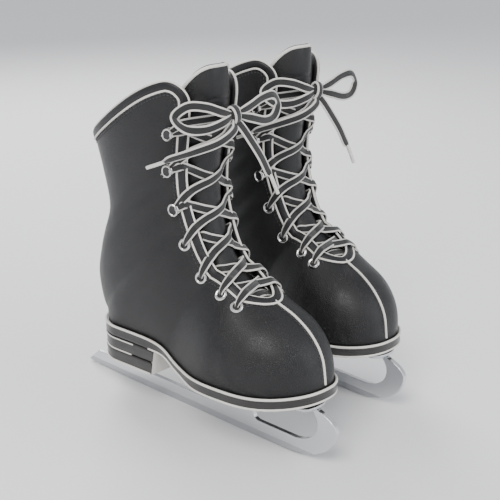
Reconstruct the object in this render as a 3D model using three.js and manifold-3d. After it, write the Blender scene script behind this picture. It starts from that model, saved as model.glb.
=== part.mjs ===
// A pair of laced figure skates, standing on their blades.
// Row frame: millimetres, +Z up, toes towards -Y, the wearer's right skate on -X.
// One skate is modelled in its own frame, with +X on the outer side of the foot. The right skate is its mirror
// image.
import * as THREE from "three";
import { mergeVertices } from "three/addons/utils/BufferGeometryUtils.js";
import Module from "manifold-3d";

const wasm = await Module();
wasm.setup();

// ---- driving dimensions, in millimetres ----
const SOLE_LENGTH = 222;
const BALL_HALF_OUTER = 47;
const BALL_HALF_INNER = 39;
const WAIST_HALF = 29;
const HEEL_HALF = 31;
const TOE_SWING = 5; // the toe leans to the inner side of the foot by this much
const WELT = 2.5; // the outsole stands out past the upper by this much
const OUTSOLE = 9;
const TOE_SPRING = 4;
const LIFT = 11; // one leather layer of the heel
const LIFT_COUNT = 2;
const HEEL_LENGTH = 74;
const BOOT_HEIGHT = 150; // top of the outsole at the heel to the low back of the collar
const SHAFT_HALF = 37; // half width of the shaft at the collar
const ANKLE_HALF = 33;
const UPPER = 3.6; // thickness of the upper, with its lining
const BINDING = 1.2; // the band folded over the edge of the opening
const BINDING_WIDTH = 5;
const BINDING_CLEAR = 0.8; // between the binding and the leather in its fold
const STRIP = 1.3; // backstay and toe seam, standing out from the skin
const THROAT_HALF = 16; // half width of the lacing gap at the throat
const TOP_GAP_HALF = 26; // and at the collar
const TONGUE = 6;
const TONGUE_HALF = 30;
const TONGUE_RISE = 0.7; // how far the tongue passes the collar, in stations
const INSOLE = 3;
const BLADE_THICK = 4;
const BLADE_DEPTH = 13.5; // ice to the blade's top edge
const TAIL = 41; // the blade passes the heel by this much
const PROW = 14; // and the toe by this much
const HEEL_PLATE_TOP = 31.5; // ice to the underside of the heel
const SOLE_PLATE_TOP = 46; // ice to the underside of the outsole
const PLATE = 2.5;
const SCREW_SHANK = 1.9; // radius
const SCREW_HEAD = 3.6; // radius
const SCREW_LENGTH = 9; // from the plate's underside into the sole
const LACE_WIDTH = 7;
const LACE_THICK = 1.4;
const EYELET = 4.6; // outer radius of its rim
const EYELET_HOLE = 2.4; // radius
const EYELETS = 4;
const HOOKS = 3;
const GAP = 0.3; // between pieces that touch

// ---- where the two skates stand ----
const SPACING = 118; // between the two blades
const LEFT_BACK = 16.6; // the left skate stands this much further back
const LEFT_TURN = -2.9 * (Math.PI / 180);

// ---- small helpers ----
const mix = (a, b, t) => a + (b - a) * t;
const clamp = (x, lo, hi) => Math.min(hi, Math.max(lo, x));
const smooth = (a, b, x) => {
  const t = clamp((x - a) / (b - a), 0, 1);
  return t * t * (3 - 2 * t);
};

// A smooth curve through evenly spaced values, by Catmull-Rom.
function through(values, at) {
  const last = values.length - 1;
  const i = clamp(Math.floor(at), 0, last - 1);
  const t = at - i;
  const p = (k) => {
    if (k < 0) return 2 * values[0] - values[1];
    if (k > last) return 2 * values[last] - values[last - 1];
    return values[k];
  };
  const [a, b, c, d] = [p(i - 1), p(i), p(i + 1), p(i + 2)];
  const cubic = 3 * (b - c) + d - a;
  return b + 0.5 * t * (c - a + t * (2 * a - 5 * b + 4 * c - d + t * cubic));
}

// ---- the sole's plan outline and its height ----
const heelFeather = HEEL_PLATE_TOP + LIFT * LIFT_COUNT + OUTSOLE;
const ballFeather = SOLE_PLATE_TOP + OUTSOLE;

// Height of the top of the outsole at a distance from the heel's back.
function featherHeight(u) {
  const share = u / SOLE_LENGTH;
  const spring = Math.max(0, (share - 0.8) / 0.2);
  return mix(heelFeather, ballFeather, smooth(0.26, 0.6, share)) + TOE_SPRING * spring * spring;
}

// The middle of the foot leans to the inner side towards the toe.
const swing = (u) => -TOE_SWING * smooth(0.55, 1, u / SOLE_LENGTH);

// Half width of the sole's outline on one side (+1 outer, -1 inner), drawn in by inset.
function soleHalf(u, side, inset = 0) {
  const ball = side > 0 ? BALL_HALF_OUTER : BALL_HALF_INNER;
  const widths = [HEEL_HALF, HEEL_HALF, WAIST_HALF + 1, WAIST_HALF + 1, mix(WAIST_HALF, ball, 0.55),
    mix(WAIST_HALF, ball, 0.95), ball, ball - 1, ball - 5];
  const base = through(widths, (u / SOLE_LENGTH) * (widths.length - 1)) - inset;
  const toe = clamp((u - SOLE_LENGTH + 62) / (62 - inset), 0, 1);
  const heel = clamp((HEEL_HALF - u) / (HEEL_HALF - inset), 0, 1);
  return base * Math.pow(1 - Math.pow(toe, 2.3), 1 / 2.3) * Math.sqrt(1 - heel * heel);
}

// ---- the boot's skin ----
// The skin is ruled by lines from the front ridge to the sole's edge or the back seam.
// Stations run from the toe (0) over the instep and up the shaft to the collar (14), and 15 is past it.
// Shares of SOLE_LENGTH along the foot and of BOOT_HEIGHT above the heel's feather line.
const FRONT_U = [0.989, 0.973, 0.93, 0.863, 0.782, 0.712, 0.65, 0.588, 0.555, 0.543, 0.543, 0.551, 0.563,
  0.577, 0.585, 0.589];
const FRONT_Z = [-0.02, 0.12, 0.215, 0.285, 0.335, 0.4, 0.485, 0.595, 0.725, 0.85, 0.965, 1.075, 1.18, 1.275,
  1.36, 1.52];
const BACK_U = [0.989, 0.973, 0.935, 0.865, 0.755, 0.62, 0.465, 0.3, 0.15, 0.01, -0.029, 0.009, 0.053, 0.03,
  -0.011, -0.04];
const BACK_RISE = [0, 0.002, 0.21, 0.43, 0.6, 0.8, 1, 1.2]; // from the heel up to past the collar
const HALF = [0, 0, 0, 0, 0, 0.72, 0.84, 0.95, 1, 1, 1, 1, 1, 1, 1, 1];
const WIDEST = [0.8, 0.8, 0.8, 0.8, 0.8, 0.78, 0.74, 0.68, 0.6, 0.54, 0.52, 0.5, 0.5, 0.5, 0.5, 0.5];
const BOW = [0, 0, 0, 0, 0, 0, 0, 0, 0, 0, 0, 0, 2, 7, 14, 16]; // upward bend of a line, in millimetres
const FULLNESS = 2.4; // 2 would make the back of a section elliptical
const THROAT = 4.2;
const COLLAR = 14;
const HEEL_STATION = 9;

function lineEnds(s, inset) {
  const front = { u: through(FRONT_U, s) * SOLE_LENGTH, z: heelFeather + through(FRONT_Z, s) * BOOT_HEIGHT };
  const toeLift = ballFeather + TOE_SPRING - heelFeather;
  front.z += toeLift * (1 - smooth(0, 4, s)) * 0.4;
  const back = { u: through(BACK_U, s) * SOLE_LENGTH, z: 0 };
  if (s <= HEEL_STATION) {
    back.u = clamp(back.u, WELT + inset, SOLE_LENGTH - WELT - inset);
    back.z = featherHeight(back.u) + GAP;
  } else {
    back.z = heelFeather + through(BACK_RISE, s - HEEL_STATION + 1) * BOOT_HEIGHT;
  }
  if (s < 1e-6) Object.assign(front, back);
  return { front, back };
}

// A point of the skin. around runs from the front ridge (0) to the sole's edge or the back seam (1),
// side is +1 outer or -1 inner, and inset moves the skin inwards by that much.
function skin(s, around, side, inset = 0) {
  const { front, back } = lineEnds(s, inset);
  const length = Math.hypot(back.u - front.u, back.z - front.z);
  const onSole = s <= HEEL_STATION;
  const shortFront = length > 0 ? inset / length : 0;
  const shortBack = onSole ? 0 : shortFront;
  const half = through(HALF, s) * mix(ANKLE_HALF, SHAFT_HALF, smooth(11, COLLAR, s));
  const edge = onSole ? soleHalf(back.u, side, WELT + inset) : 0;
  const widest = Math.max(half - inset, edge * 1.02);
  const end = clamp(edge / Math.max(widest, 1e-6), 0, 1);
  const turn = through(WIDEST, s);
  let t;
  let share;
  if (around < 0.5) {
    t = turn * (1 - Math.cos(around * Math.PI));
    share = Math.pow(1 - Math.pow(1 - t / turn, 2.2), 1 / 2.2);
  } else {
    const x = Math.sin((around - 0.5) * Math.PI);
    t = mix(turn, 1, x);
    share = Math.pow(Math.max(0, 1 - (1 - Math.pow(end, FULLNESS)) * Math.pow(x, FULLNESS)), 1 / FULLNESS);
  }
  const along = mix(shortFront, 1 - shortBack, t);
  const u = mix(front.u, back.u, along);
  const z = mix(front.z, back.z, along) + through(BOW, s) * 6.75 * t * (1 - t) * (1 - t);
  return new THREE.Vector3(swing(u) + side * Math.max(0, widest) * share, -u, z);
}

// The skin's outward direction, and the directions round the boot and up it.
function skinAxes(s, around, side) {
  const step = 0.01;
  const at = skin(s, around, side);
  const round = skin(s, around + step, side).sub(at).normalize();
  const up = skin(s + step, around, side).sub(at).normalize();
  const out = new THREE.Vector3().crossVectors(round, up).multiplyScalar(side).normalize();
  return { at, out, round, up };
}

// How far round the boot the skin is a given half width from the middle.
function aroundAtHalf(s, half) {
  let lo = 0;
  let hi = 0.5;
  for (let i = 0; i < 24; i++) {
    const middle = (lo + hi) / 2;
    if (Math.abs(skin(s, middle, 1).x - skin(s, 0, 1).x) < half) lo = middle;
    else hi = middle;
  }
  return lo;
}

// The edge of the lacing gap: a rounded throat, then widening to the collar, where the corner is rounded off.
const CORNER = 0.8; // stations
const CORNER_ROUND = 0.11;
function gapEdge(s) {
  const opened = Math.sqrt(clamp((s - THROAT) / THROAT_RISE, 0, 1));
  const half = mix(THROAT_HALF, TOP_GAP_HALF, (s - THROAT) / (COLLAR - THROAT)) * opened;
  const corner = clamp((s - COLLAR + CORNER) / CORNER, 0, 1);
  return aroundAtHalf(s, half) + CORNER_ROUND * (1 - Math.sqrt(1 - corner * corner));
}

// The whole edge from the throat (0) up the gap and round the corner to the back seam (1), as station and
// around.
const THROAT_END = 0.12; // share of the edge where the throat's round ends
const SIDE_END = 0.5; // where the gap's side ends
const CORNER_END = 0.62; // and where the corner's round ends
const THROAT_RISE = 0.7; // the throat's round, in stations
function openingEdge(p) {
  if (p < THROAT_END) {
    const s = THROAT + THROAT_RISE * (p / THROAT_END) * (p / THROAT_END);
    return [s, gapEdge(s)];
  }
  if (p < SIDE_END) {
    const s = mix(THROAT + THROAT_RISE, COLLAR - CORNER, (p - THROAT_END) / (SIDE_END - THROAT_END));
    return [s, gapEdge(s)];
  }
  if (p < CORNER_END) {
    const turned = (p - SIDE_END) / (CORNER_END - SIDE_END);
    const s = COLLAR - CORNER + CORNER * Math.sin((turned * Math.PI) / 2);
    return [s, gapEdge(s)];
  }
  return [COLLAR, mix(gapEdge(COLLAR), 1, (p - CORNER_END) / (1 - CORNER_END))];
}

// How far along the edge a station is.
function edgeAt(s) {
  const round = (s - THROAT) / THROAT_RISE;
  if (round < 1) return THROAT_END * Math.sqrt(Math.max(0, round));
  const side = (s - THROAT - THROAT_RISE) / (COLLAR - CORNER - THROAT - THROAT_RISE);
  if (side < 1) return mix(THROAT_END, SIDE_END, side);
  const corner = Math.asin(Math.min(1, (s - COLLAR + CORNER) / CORNER)) / (Math.PI / 2);
  return mix(SIDE_END, CORNER_END, corner);
}

// The station and signed around of a point a given distance into the leather from the edge of the opening. A
// negative distance is past the edge, and a negative around is past the centre line.
function edgeSpot(p, side, distance) {
  const [s, around] = openingEdge(p);
  const step = 0.004;
  const at = skin(s, around, side);
  const bySt = skin(s + step, around, side).sub(at).divideScalar(step);
  const lean = around + step > 1 ? -step : step;
  const byAr = skin(s, around + lean, side).sub(at).divideScalar(lean);
  const [s0, a0] = openingEdge(Math.max(p - 0.003, 0));
  const [s1, a1] = openingEdge(Math.min(p + 0.003, 1));
  const along = skin(s1, a1, side).sub(skin(s0, a0, side)).normalize();
  const out = new THREE.Vector3().crossVectors(byAr, bySt).normalize();
  const inward = new THREE.Vector3().crossVectors(along, out).normalize().multiplyScalar(distance);
  const [e, f, g] = [bySt.dot(bySt), bySt.dot(byAr), byAr.dot(byAr)];
  const [m, n] = [inward.dot(bySt), inward.dot(byAr)];
  const det = e * g - f * f;
  return [s + (m * g - n * f) / det, around + (n * e - m * f) / det];
}

function nearEdge(p, side, distance, inset) {
  const [s, around] = edgeSpot(p, side, distance);
  const point = skin(s, Math.min(Math.abs(around), 1), around < 0 ? -side : side, inset);
  if (p === 1 || p === 0) point.x = swing(-point.y);
  return point;
}

// ---- turning grids of points into closed meshes ----
function welded(positions) {
  const geometry = new THREE.BufferGeometry();
  geometry.setAttribute("position", new THREE.Float32BufferAttribute(positions, 3));
  const merged = mergeVertices(geometry, 1e-3);
  const kept = [];
  const index = merged.index.array;
  for (let i = 0; i < index.length; i += 3) {
    const [a, b, c] = [index[i], index[i + 1], index[i + 2]];
    if (a !== b && b !== c && c !== a) kept.push(a, b, c);
  }
  merged.setIndex(kept);
  return merged;
}

// A solid from a grid of points f(a, b) that closes on itself in both directions.
function ring(f, na, nb) {
  const positions = [];
  const g = Array.from({ length: na }, (_, i) => Array.from({ length: nb }, (_, j) => f(i / na, j)));
  for (let i = 0; i < na; i++)
    for (let j = 0; j < nb; j++) {
      const [p, q] = [g[i][j], g[(i + 1) % na][j]];
      const [r, s] = [g[(i + 1) % na][(j + 1) % nb], g[i][(j + 1) % nb]];
      [p, q, r, p, r, s].forEach((v) => positions.push(v.x, v.y, v.z));
    }
  return facingOut(welded(positions));
}

// A closed solid between two grids of points, outer(a, b) and inner(a, b), with a and b from 0 to 1.
function between(outer, inner, na, nb) {
  const positions = [];
  const quad = (p, q, r, s) => [p, q, r, p, r, s].forEach((v) => positions.push(v.x, v.y, v.z));
  const grid = (f) => Array.from({ length: na + 1 }, (_, i) =>
    Array.from({ length: nb + 1 }, (_, j) => f(i / na, j / nb)));
  const o = grid(outer);
  const n = grid(inner);
  for (let i = 0; i < na; i++)
    for (let j = 0; j < nb; j++) {
      quad(o[i][j], o[i + 1][j], o[i + 1][j + 1], o[i][j + 1]);
      quad(n[i][j], n[i][j + 1], n[i + 1][j + 1], n[i + 1][j]);
    }
  for (let i = 0; i < na; i++) {
    quad(o[i][0], n[i][0], n[i + 1][0], o[i + 1][0]);
    quad(o[i][nb], o[i + 1][nb], n[i + 1][nb], n[i][nb]);
  }
  for (let j = 0; j < nb; j++) {
    quad(o[0][j], o[0][j + 1], n[0][j + 1], n[0][j]);
    quad(o[na][j], n[na][j], n[na][j + 1], o[na][j + 1]);
  }
  return facingOut(welded(positions));
}

// Turns a closed mesh right side out if its volume is negative.
function facingOut(geometry) {
  const p = geometry.getAttribute("position");
  const index = geometry.index.array;
  const [a, b, c] = [0, 1, 2].map(() => new THREE.Vector3());
  let volume = 0;
  for (let i = 0; i < index.length; i += 3) {
    a.fromBufferAttribute(p, index[i]);
    b.fromBufferAttribute(p, index[i + 1]);
    c.fromBufferAttribute(p, index[i + 2]);
    volume += a.dot(b.cross(c));
  }
  if (volume < 0)
    for (let i = 0; i < index.length; i += 3) [index[i + 1], index[i + 2]] = [index[i + 2], index[i + 1]];
  return geometry;
}

function toSolid(geometry) {
  const plain = geometry.index ? geometry.clone() : geometry;
  plain.deleteAttribute("normal");
  plain.deleteAttribute("uv");
  const merged = mergeVertices(plain, 1e-4);
  return new wasm.Manifold(new wasm.Mesh({
    numProp: 3,
    vertProperties: merged.getAttribute("position").array,
    triVerts: new Uint32Array(merged.index.array),
  }));
}

function toGeometry(solid) {
  const mesh = solid.getMesh();
  const geometry = new THREE.BufferGeometry();
  geometry.setAttribute("position", new THREE.Float32BufferAttribute(mesh.vertProperties, 3));
  geometry.setIndex(Array.from(mesh.triVerts));
  return geometry;
}

const joined = (...pieces) => toGeometry(pieces.map(toSolid).reduce((a, b) => a.add(b)));
const cut = (piece, tools) => toGeometry(tools.map(toSolid).reduce((a, b) => a.subtract(b), toSolid(piece)));

// A flat strip along a list of points, each with the direction that its face looks in.
function ribbon(points, faces, width = LACE_WIDTH, thick = LACE_THICK) {
  const curve = new THREE.CatmullRomCurve3(points);
  const steps = Math.max(2, points.length - 1);
  const corner = (a, across, out) => {
    const i = a * (faces.length - 1);
    const k = Math.min(faces.length - 2, Math.floor(i));
    const face = faces[k].clone().lerp(faces[k + 1], i - k);
    const along = curve.getTangent(a);
    const wide = new THREE.Vector3().crossVectors(along, face).normalize();
    const away = new THREE.Vector3().crossVectors(wide, along).normalize();
    return curve.getPoint(a).addScaledVector(wide, across * width / 2).addScaledVector(away, out * thick / 2);
  };
  return between((a, b) => corner(a, 2 * b - 1, 1), (a, b) => corner(a, 2 * b - 1, -1), steps, 1);
}

// ---- leather upper ----
const PANEL_ROWS = [0, 0.25, 0.7, 1.4, 2.2, 3.2, 3.7, THROAT, 4.24, 4.38, 4.6, 4.9, 5.3, 5.8, 6.4, 7.1, 7.8, 8.3,
  8.6, 8.8, 8.92, 8.98, 9, 9.5, 10.2, 11, 11.8, 12.6, 13.2, 13.55, 13.82, 13.95, COLLAR];

const PANEL_COLUMNS = [0, 0.04, 0.1, 0.2, 0.34, 0.5, 0.66, 0.8, 0.9, 0.96, 1]; // shares of the way round

// One half of the upper, from the toe to the collar and from the centre line or the lacing gap to the sole or
// the back.
function upper(side) {
  const rows = PANEL_ROWS.length - 1;
  const columns = PANEL_COLUMNS.length - 1;
  const at = (inset) => (a, b) => {
    const s = PANEL_ROWS[Math.round(b * rows)];
    const share = PANEL_COLUMNS[Math.round(a * columns)];
    const point = skin(s, mix(gapEdge(s), 1, share), side, inset);
    point.x += side * GAP * 0.5;
    return point;
  };
  return between(at(0), at(UPPER), columns, rows);
}

// The band folded over the whole edge of the opening, one closed ring from the throat up both sides and round
// the back.
// Its steps are at the panels' own rows and columns.
function binding() {
  const c = BINDING_CLEAR;
  const t = BINDING;
  // distance into the leather, and inset, of the corners of its U-shaped section
  const section = [[BINDING_WIDTH, -c - t], [2, -c - t], [-c - t, -c], [-c - t, UPPER + c],
    [2, UPPER + c + t], [BINDING_WIDTH, UPPER + c + t], [BINDING_WIDTH, UPPER + c], [-c, UPPER + c], [-c, -c],
    [BINDING_WIDTH, -c]];
  const stops = [...PANEL_ROWS.filter((s) => s >= THROAT).map(edgeAt),
    ...PANEL_COLUMNS.slice(1).map((share) => mix(CORNER_END, 1, share))];
  const last = stops.length - 1;
  const at = (a, j) => {
    const i = Math.round(a * 2 * last);
    const side = i <= last ? 1 : -1;
    return nearEdge(stops[i <= last ? i : 2 * last - i], side, section[j][0], section[j][1]);
  };
  return ring(at, 2 * last, section.length);
}

// A strip down the middle of the skin, over the panels' own rows. shares are the ways round of its right half, from
// the middle of the strip to its edge.
function centreStrip(from, to, shares) {
  const rows = PANEL_ROWS.filter((s) => s >= from && s <= to);
  const half = shares.length - 1;
  const at = (inset) => (a, b) => {
    const s = rows[Math.round(b * (rows.length - 1))];
    const k = Math.round(a * 2 * half) - half;
    const side = shares[0] === 0 ? Math.sign(k) || 1 : -Math.sign(k) || 1;
    const point = skin(s, mix(gapEdge(s), 1, shares[Math.abs(k)]), side, inset);
    point.x += k === 0 ? 0 : side * GAP * 0.5;
    return point;
  };
  return between(at(-GAP - STRIP), at(-GAP), 2 * half, rows.length - 1);
}

// The tongue lies inside the upper and stands up past the collar.
function tongue() {
  const low = THROAT + 0.9;
  const at = (inset) => (a, b) => {
    const off = 2 * a - 1;
    const s = mix(low, COLLAR + TONGUE_RISE - 1.1 * Math.pow(Math.abs(off), 2.5), b);
    const half = TONGUE_HALF * mix(0.45, 1, Math.sqrt(clamp(b / 0.3, 0, 1)));
    return skin(s, aroundAtHalf(s, half) * Math.abs(off), off > 0 ? 1 : -1, inset);
  };
  const outside = UPPER + BINDING_CLEAR + BINDING + 2.4;
  return between(at(outside), at(outside + TONGUE), 8, 14);
}

// ---- bottom ----
// A layer of the bottom between two heights. It follows the sole's outline, and full is 1 when it reaches the toe's
// round end and 0.5 when its front is cut square.
function layer(from, to, top, bottom, inset, steps, full = 1) {
  const at = (height) => (a, b) => {
    const share = (1 - Math.cos(a * Math.PI * full)) / (1 - Math.cos(Math.PI * full));
    const u = mix(from, to, share);
    const across = soleHalf(u, b < 0.5 ? 1 : -1, inset) * (1 - 2 * b);
    return new THREE.Vector3(swing(u) + across, -u, height(u));
  };
  return between(at(top), at(bottom), steps, 2);
}

function outsole() {
  const waist = (u) => smooth(0.3, 0.42, u / SOLE_LENGTH) * (1 - smooth(0.5, 0.62, u / SOLE_LENGTH));
  return layer(0, SOLE_LENGTH, featherHeight, (u) => featherHeight(u) - OUTSOLE * (1 - 0.25 * waist(u)), 0, 22);
}

// The insole follows the panels' own rows, so that its edge runs beside theirs.
function insole() {
  const inset = UPPER + 5 * GAP;
  const rows = PANEL_ROWS.filter((s) => s > 0 && s <= HEEL_STATION);
  const at = (height) => (a, b) => {
    const { back } = lineEnds(rows[Math.round(a * (rows.length - 1))], inset);
    const across = soleHalf(back.u, b < 0.5 ? 1 : -1, WELT + inset) * (1 - 2 * b);
    return new THREE.Vector3(swing(back.u) + across, -back.u, back.z + height);
  };
  return between(at(INSOLE), at(0), rows.length - 1, 2);
}

// One layer of the heel, counted from the top; each is a little smaller than the one above.
function heelLift(number) {
  const level = heelFeather - OUTSOLE - LIFT * number - GAP;
  const top = (u) => Math.min(level, featherHeight(u) - OUTSOLE - GAP);
  const inset = 0.8 * (number + 1);
  return layer(inset, HEEL_LENGTH - 3.5 * number, top, () => level - LIFT + GAP, inset, 9, 0.5);
}

// ---- blade ----
const heelPlateLow = HEEL_PLATE_TOP - GAP - PLATE;
const solePlateLow = SOLE_PLATE_TOP - GAP - PLATE;
const HEEL_PLATE = [2, 55]; // from and to, along the foot
const SOLE_PLATE = [122, SOLE_LENGTH - 4];

// Extrudes an outline drawn in the plane of the blade (along the foot, up) to a thickness across it.
function upright(shape, thick) {
  const geometry = new THREE.ExtrudeGeometry(shape, { depth: thick, bevelEnabled: false, curveSegments: 6 });
  geometry.translate(0, 0, -thick / 2);
  return geometry.applyMatrix4(new THREE.Matrix4().set(0, 0, -1, 0, -1, 0, 0, 0, 0, 1, 0, 0, 0, 0, 0, 1));
}

function blade() {
  const top = BLADE_DEPTH;
  const heelTop = heelPlateLow - GAP;
  const soleTop = solePlateLow - GAP;
  const front = SOLE_LENGTH + PROW;
  const s = new THREE.Shape();
  s.moveTo(-TAIL, 2.2);
  s.lineTo(-6, 0.5);
  s.lineTo(44, 0);
  s.lineTo(154, 0);
  s.lineTo(190, 0.6);
  s.bezierCurveTo(212, 1.5, front - 3, 10, front - 0.4, 28);
  s.bezierCurveTo(front + 0.3, 35, front - 6, soleTop - 4, SOLE_PLATE[1] - 1, soleTop);
  s.lineTo(SOLE_PLATE[1] - 8, soleTop);
  s.bezierCurveTo(front - 13, 36, front - 14, top + 3, front - 38, top);
  s.lineTo(161, top);
  s.quadraticCurveTo(157, top, 156, top + 4);
  s.lineTo(152, soleTop);
  s.lineTo(SOLE_PLATE[0] + 4, soleTop);
  s.bezierCurveTo(121, 34, 117, top + 3, 107, top);
  s.lineTo(27, top);
  s.quadraticCurveTo(23, top, 23, top + 4);
  s.lineTo(26, heelTop);
  s.lineTo(HEEL_PLATE[0] + 1, heelTop);
  s.lineTo(-5, top + 3);
  s.quadraticCurveTo(-6, top, -10, top);
  s.lineTo(-TAIL + 13, top);
  s.closePath();
  return upright(s, BLADE_THICK);
}

// A flat mounting plate with round corners, from one distance to another along the foot.
function plate([from, to], rearHalf, frontHalf, low, screws) {
  const s = new THREE.Shape();
  const r = Math.min(12, frontHalf - 2);
  s.moveTo(-rearHalf + r, -from);
  s.quadraticCurveTo(-rearHalf, -from, -rearHalf, -from - r);
  s.lineTo(-frontHalf, -to + r);
  s.quadraticCurveTo(-frontHalf, -to, -frontHalf + r, -to);
  s.lineTo(frontHalf - r, -to);
  s.quadraticCurveTo(frontHalf, -to, frontHalf, -to + r);
  s.lineTo(rearHalf, -from - r);
  s.quadraticCurveTo(rearHalf, -from, rearHalf - r, -from);
  s.closePath();
  const flat = new THREE.ExtrudeGeometry(s, { depth: PLATE, bevelEnabled: false, curveSegments: 4 });
  return cut(flat.translate(0, 0, low), sockets(screws, low - 1));
}

function rod(radius, from, to, sides = 10) {
  const c = new THREE.CylinderGeometry(radius, radius, to - from, sides);
  return c.rotateX(Math.PI / 2).translate(0, 0, (from + to) / 2);
}

// A round-headed screw, driven up through a plate.
function screw([x, u], plateLow) {
  const shank = rod(SCREW_SHANK, plateLow - 1, plateLow + SCREW_LENGTH);
  const head = new THREE.LatheGeometry([[0, -1.9], [SCREW_HEAD * 0.6, -1.7], [SCREW_HEAD, -0.6],
    [SCREW_HEAD, 0], [0, 0]].map(([r, h]) => new THREE.Vector2(r, h)), 10);
  head.rotateX(Math.PI / 2).translate(0, 0, plateLow - GAP);
  return joined(shank, head).translate(x, -u, 0);
}

// Each screw's place, across and along the foot.
const HEEL_SCREWS = [[12, 42], [-12, 42]];
const SOLE_SCREWS = [[14, 134], [-15, 134]];
const sockets = (list, low) => list.map(([x, u]) =>
  rod(SCREW_SHANK + GAP, low, low + SCREW_LENGTH + 2 * PLATE).translate(x, -u, 0));

// ---- eyelets and hooks ----
// The rows of eyelets and then hooks, as stations up the boot, and how far in from the edge they sit.
const ROWS = [4.9, 5.6, 6.5, 7.6, 9, 10.5, 12];
const FITTING_IN = BINDING_WIDTH + BINDING_CLEAR + EYELET + 0.4;

// The place of a fitting on the skin, with the directions away from the gap, out and along the gap.
function fitting(row, side, into = FITTING_IN) {
  const p = edgeAt(ROWS[row]);
  const at = nearEdge(p, side, into, 0);
  const away = nearEdge(p, side, into + 0.5, 0).sub(at).normalize();
  const along = nearEdge(p + 0.004, side, into, 0).sub(at).normalize();
  const out = new THREE.Vector3().crossVectors(away, along).multiplyScalar(side).normalize();
  return { at, away, out, across: new THREE.Vector3().crossVectors(away, out) };
}

const place = (geometry, f) => geometry.applyMatrix4(
  new THREE.Matrix4().makeBasis(f.away, f.out, f.across).setPosition(f.at));

const SEAT = 2 * GAP; // from the skin, which is curved, to a fitting's flat underside
const STAY_IN = UPPER + BINDING_CLEAR + 1; // from the skin to the outer face of the stay
const eyeletHoles = (side) => [0, 1, 2, 3].map((row) =>
  place(new THREE.CylinderGeometry(EYELET_HOLE + 1.5, EYELET_HOLE + 1.5, 16, 8), fitting(row, side)));

// The row of eyelets on one side, clamped through the leather on to a thin stay inside it.
function eyeletRow(side) {
  const low = edgeAt(ROWS[0]) - 0.022;
  const high = edgeAt(ROWS[EYELETS - 1]) + 0.022;
  const at = (inset) => (a, b) =>
    nearEdge(mix(low, high, b), side, FITTING_IN + 3.4 * (2 * a - 1), inset);
  const stay = between(at(STAY_IN), at(STAY_IN + 1), 1, 12);
  const shape = [[0, -STAY_IN - 1.2], [EYELET_HOLE + 1, -STAY_IN - 1.2], [EYELET_HOLE + 1, SEAT], [EYELET, SEAT],
    [EYELET_HOLE + 0.8, SEAT + 1], [0, SEAT + 1]].map(([x, y]) => new THREE.Vector2(x, y));
  const through = [0, 1, 2, 3].map((row) =>
    place(new THREE.CylinderGeometry(EYELET_HOLE, EYELET_HOLE, 20, 8), fitting(row, side)));
  const rims = [0, 1, 2, 3].map((row) => place(new THREE.LatheGeometry(shape, 8), fitting(row, side)));
  return cut(joined(stay, ...rims), through);
}

// A lacing hook: a foot, a neck on the side of the gap, and a lip that reaches away from it.
function hook(row, side) {
  const profile = new THREE.Shape();
  [[-4, GAP], [4.5, GAP], [4.5, GAP + 1], [-2, GAP + 1], [-2, GAP + 4], [3, GAP + 4.8], [3, GAP + 5.8],
    [-3, GAP + 5.2], [-4, GAP + 4]].forEach(([x, y], i) => (i ? profile.lineTo(x, y) : profile.moveTo(x, y)));
  profile.closePath();
  const bent = new THREE.ExtrudeGeometry(profile, { depth: 8, bevelEnabled: false });
  return place(bent.translate(0, 0, -4), fitting(row, side));
}

// ---- lacing ----
const LACE_OVER = BINDING_CLEAR + BINDING + 5 * GAP + LACE_THICK / 2; // from the skin to the middle of a lace

// A lace from one fitting over the tongue to the one across the gap.
function strand(fromRow, toRow, side) {
  const reach = (row) => (row < EYELETS ? FITTING_IN : FITTING_IN - 6.6);
  const [s0, a0] = edgeSpot(edgeAt(ROWS[fromRow]), side, reach(fromRow));
  const [s1, a1] = edgeSpot(edgeAt(ROWS[toRow]), -side, reach(toRow));
  const points = [];
  const faces = [];
  for (let i = 0; i <= 6; i++) {
    const round = mix(a0, -a1, i / 6);
    const here = round >= 0 ? side : -side;
    const { at, out } = skinAxes(mix(s0, s1, i / 6), Math.abs(round), here);
    points.push(at.addScaledVector(out, LACE_OVER));
    faces.push(out);
  }
  return ribbon(points, faces);
}

// The knot sits on the tongue between the top hooks. Its axes are right, out and up with the toes towards -Y.
const knotAt = skin(12.35, 0, 1).add(new THREE.Vector3(0, -9, 0));
const knotPoint = ([x, y, z]) => new THREE.Vector3(knotAt.x + x, knotAt.y - y, knotAt.z + z);
const knotPath = (list) => list.map(knotPoint);
const FACE = new THREE.Vector3(0, -1, 0);

function laceRun() {
  const strands = [strand(0, 0, 1)];
  for (let row = 0; row < ROWS.length - 1; row++)
    strands.push(strand(row, row + 1, 1), strand(row, row + 1, -1));
  return joined(...strands);
}

// The bow's loops and free ends, from the knot: towards the loop that stands free, forward and up.
const WIDE_LOOP = [[0, 0, 0], [-12, 0, 3.4], [-23, -5, 7.8], [-34, -12, 8.6], [-41, -18, 1], [-35, -13, -7],
  [-24, -5, -8], [-12, 1, -4], [0, 0, 0]];
const FREE_LOOP = [[0, 0, 0], [12, 3, 4], [25, 4, 9], [37, 4, 9.5], [43, 3, 2], [38, 4, -6], [27, 5, -7.5],
  [13, 4, -3.6], [0, 0, 0]];
const NEAR_TAIL = [[-4, 4, -10], [-17, 2, -17], [-30, -9, -23], [-38, -24, -29], [-41, -32, -33],
  [-44, -44, -38]];
const FAR_TAIL = [[4, 5, -10], [9, 9, -20], [15, 12, -31], [20, 14, -42], [23, 15, -47], [28, 17, -60]];

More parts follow.
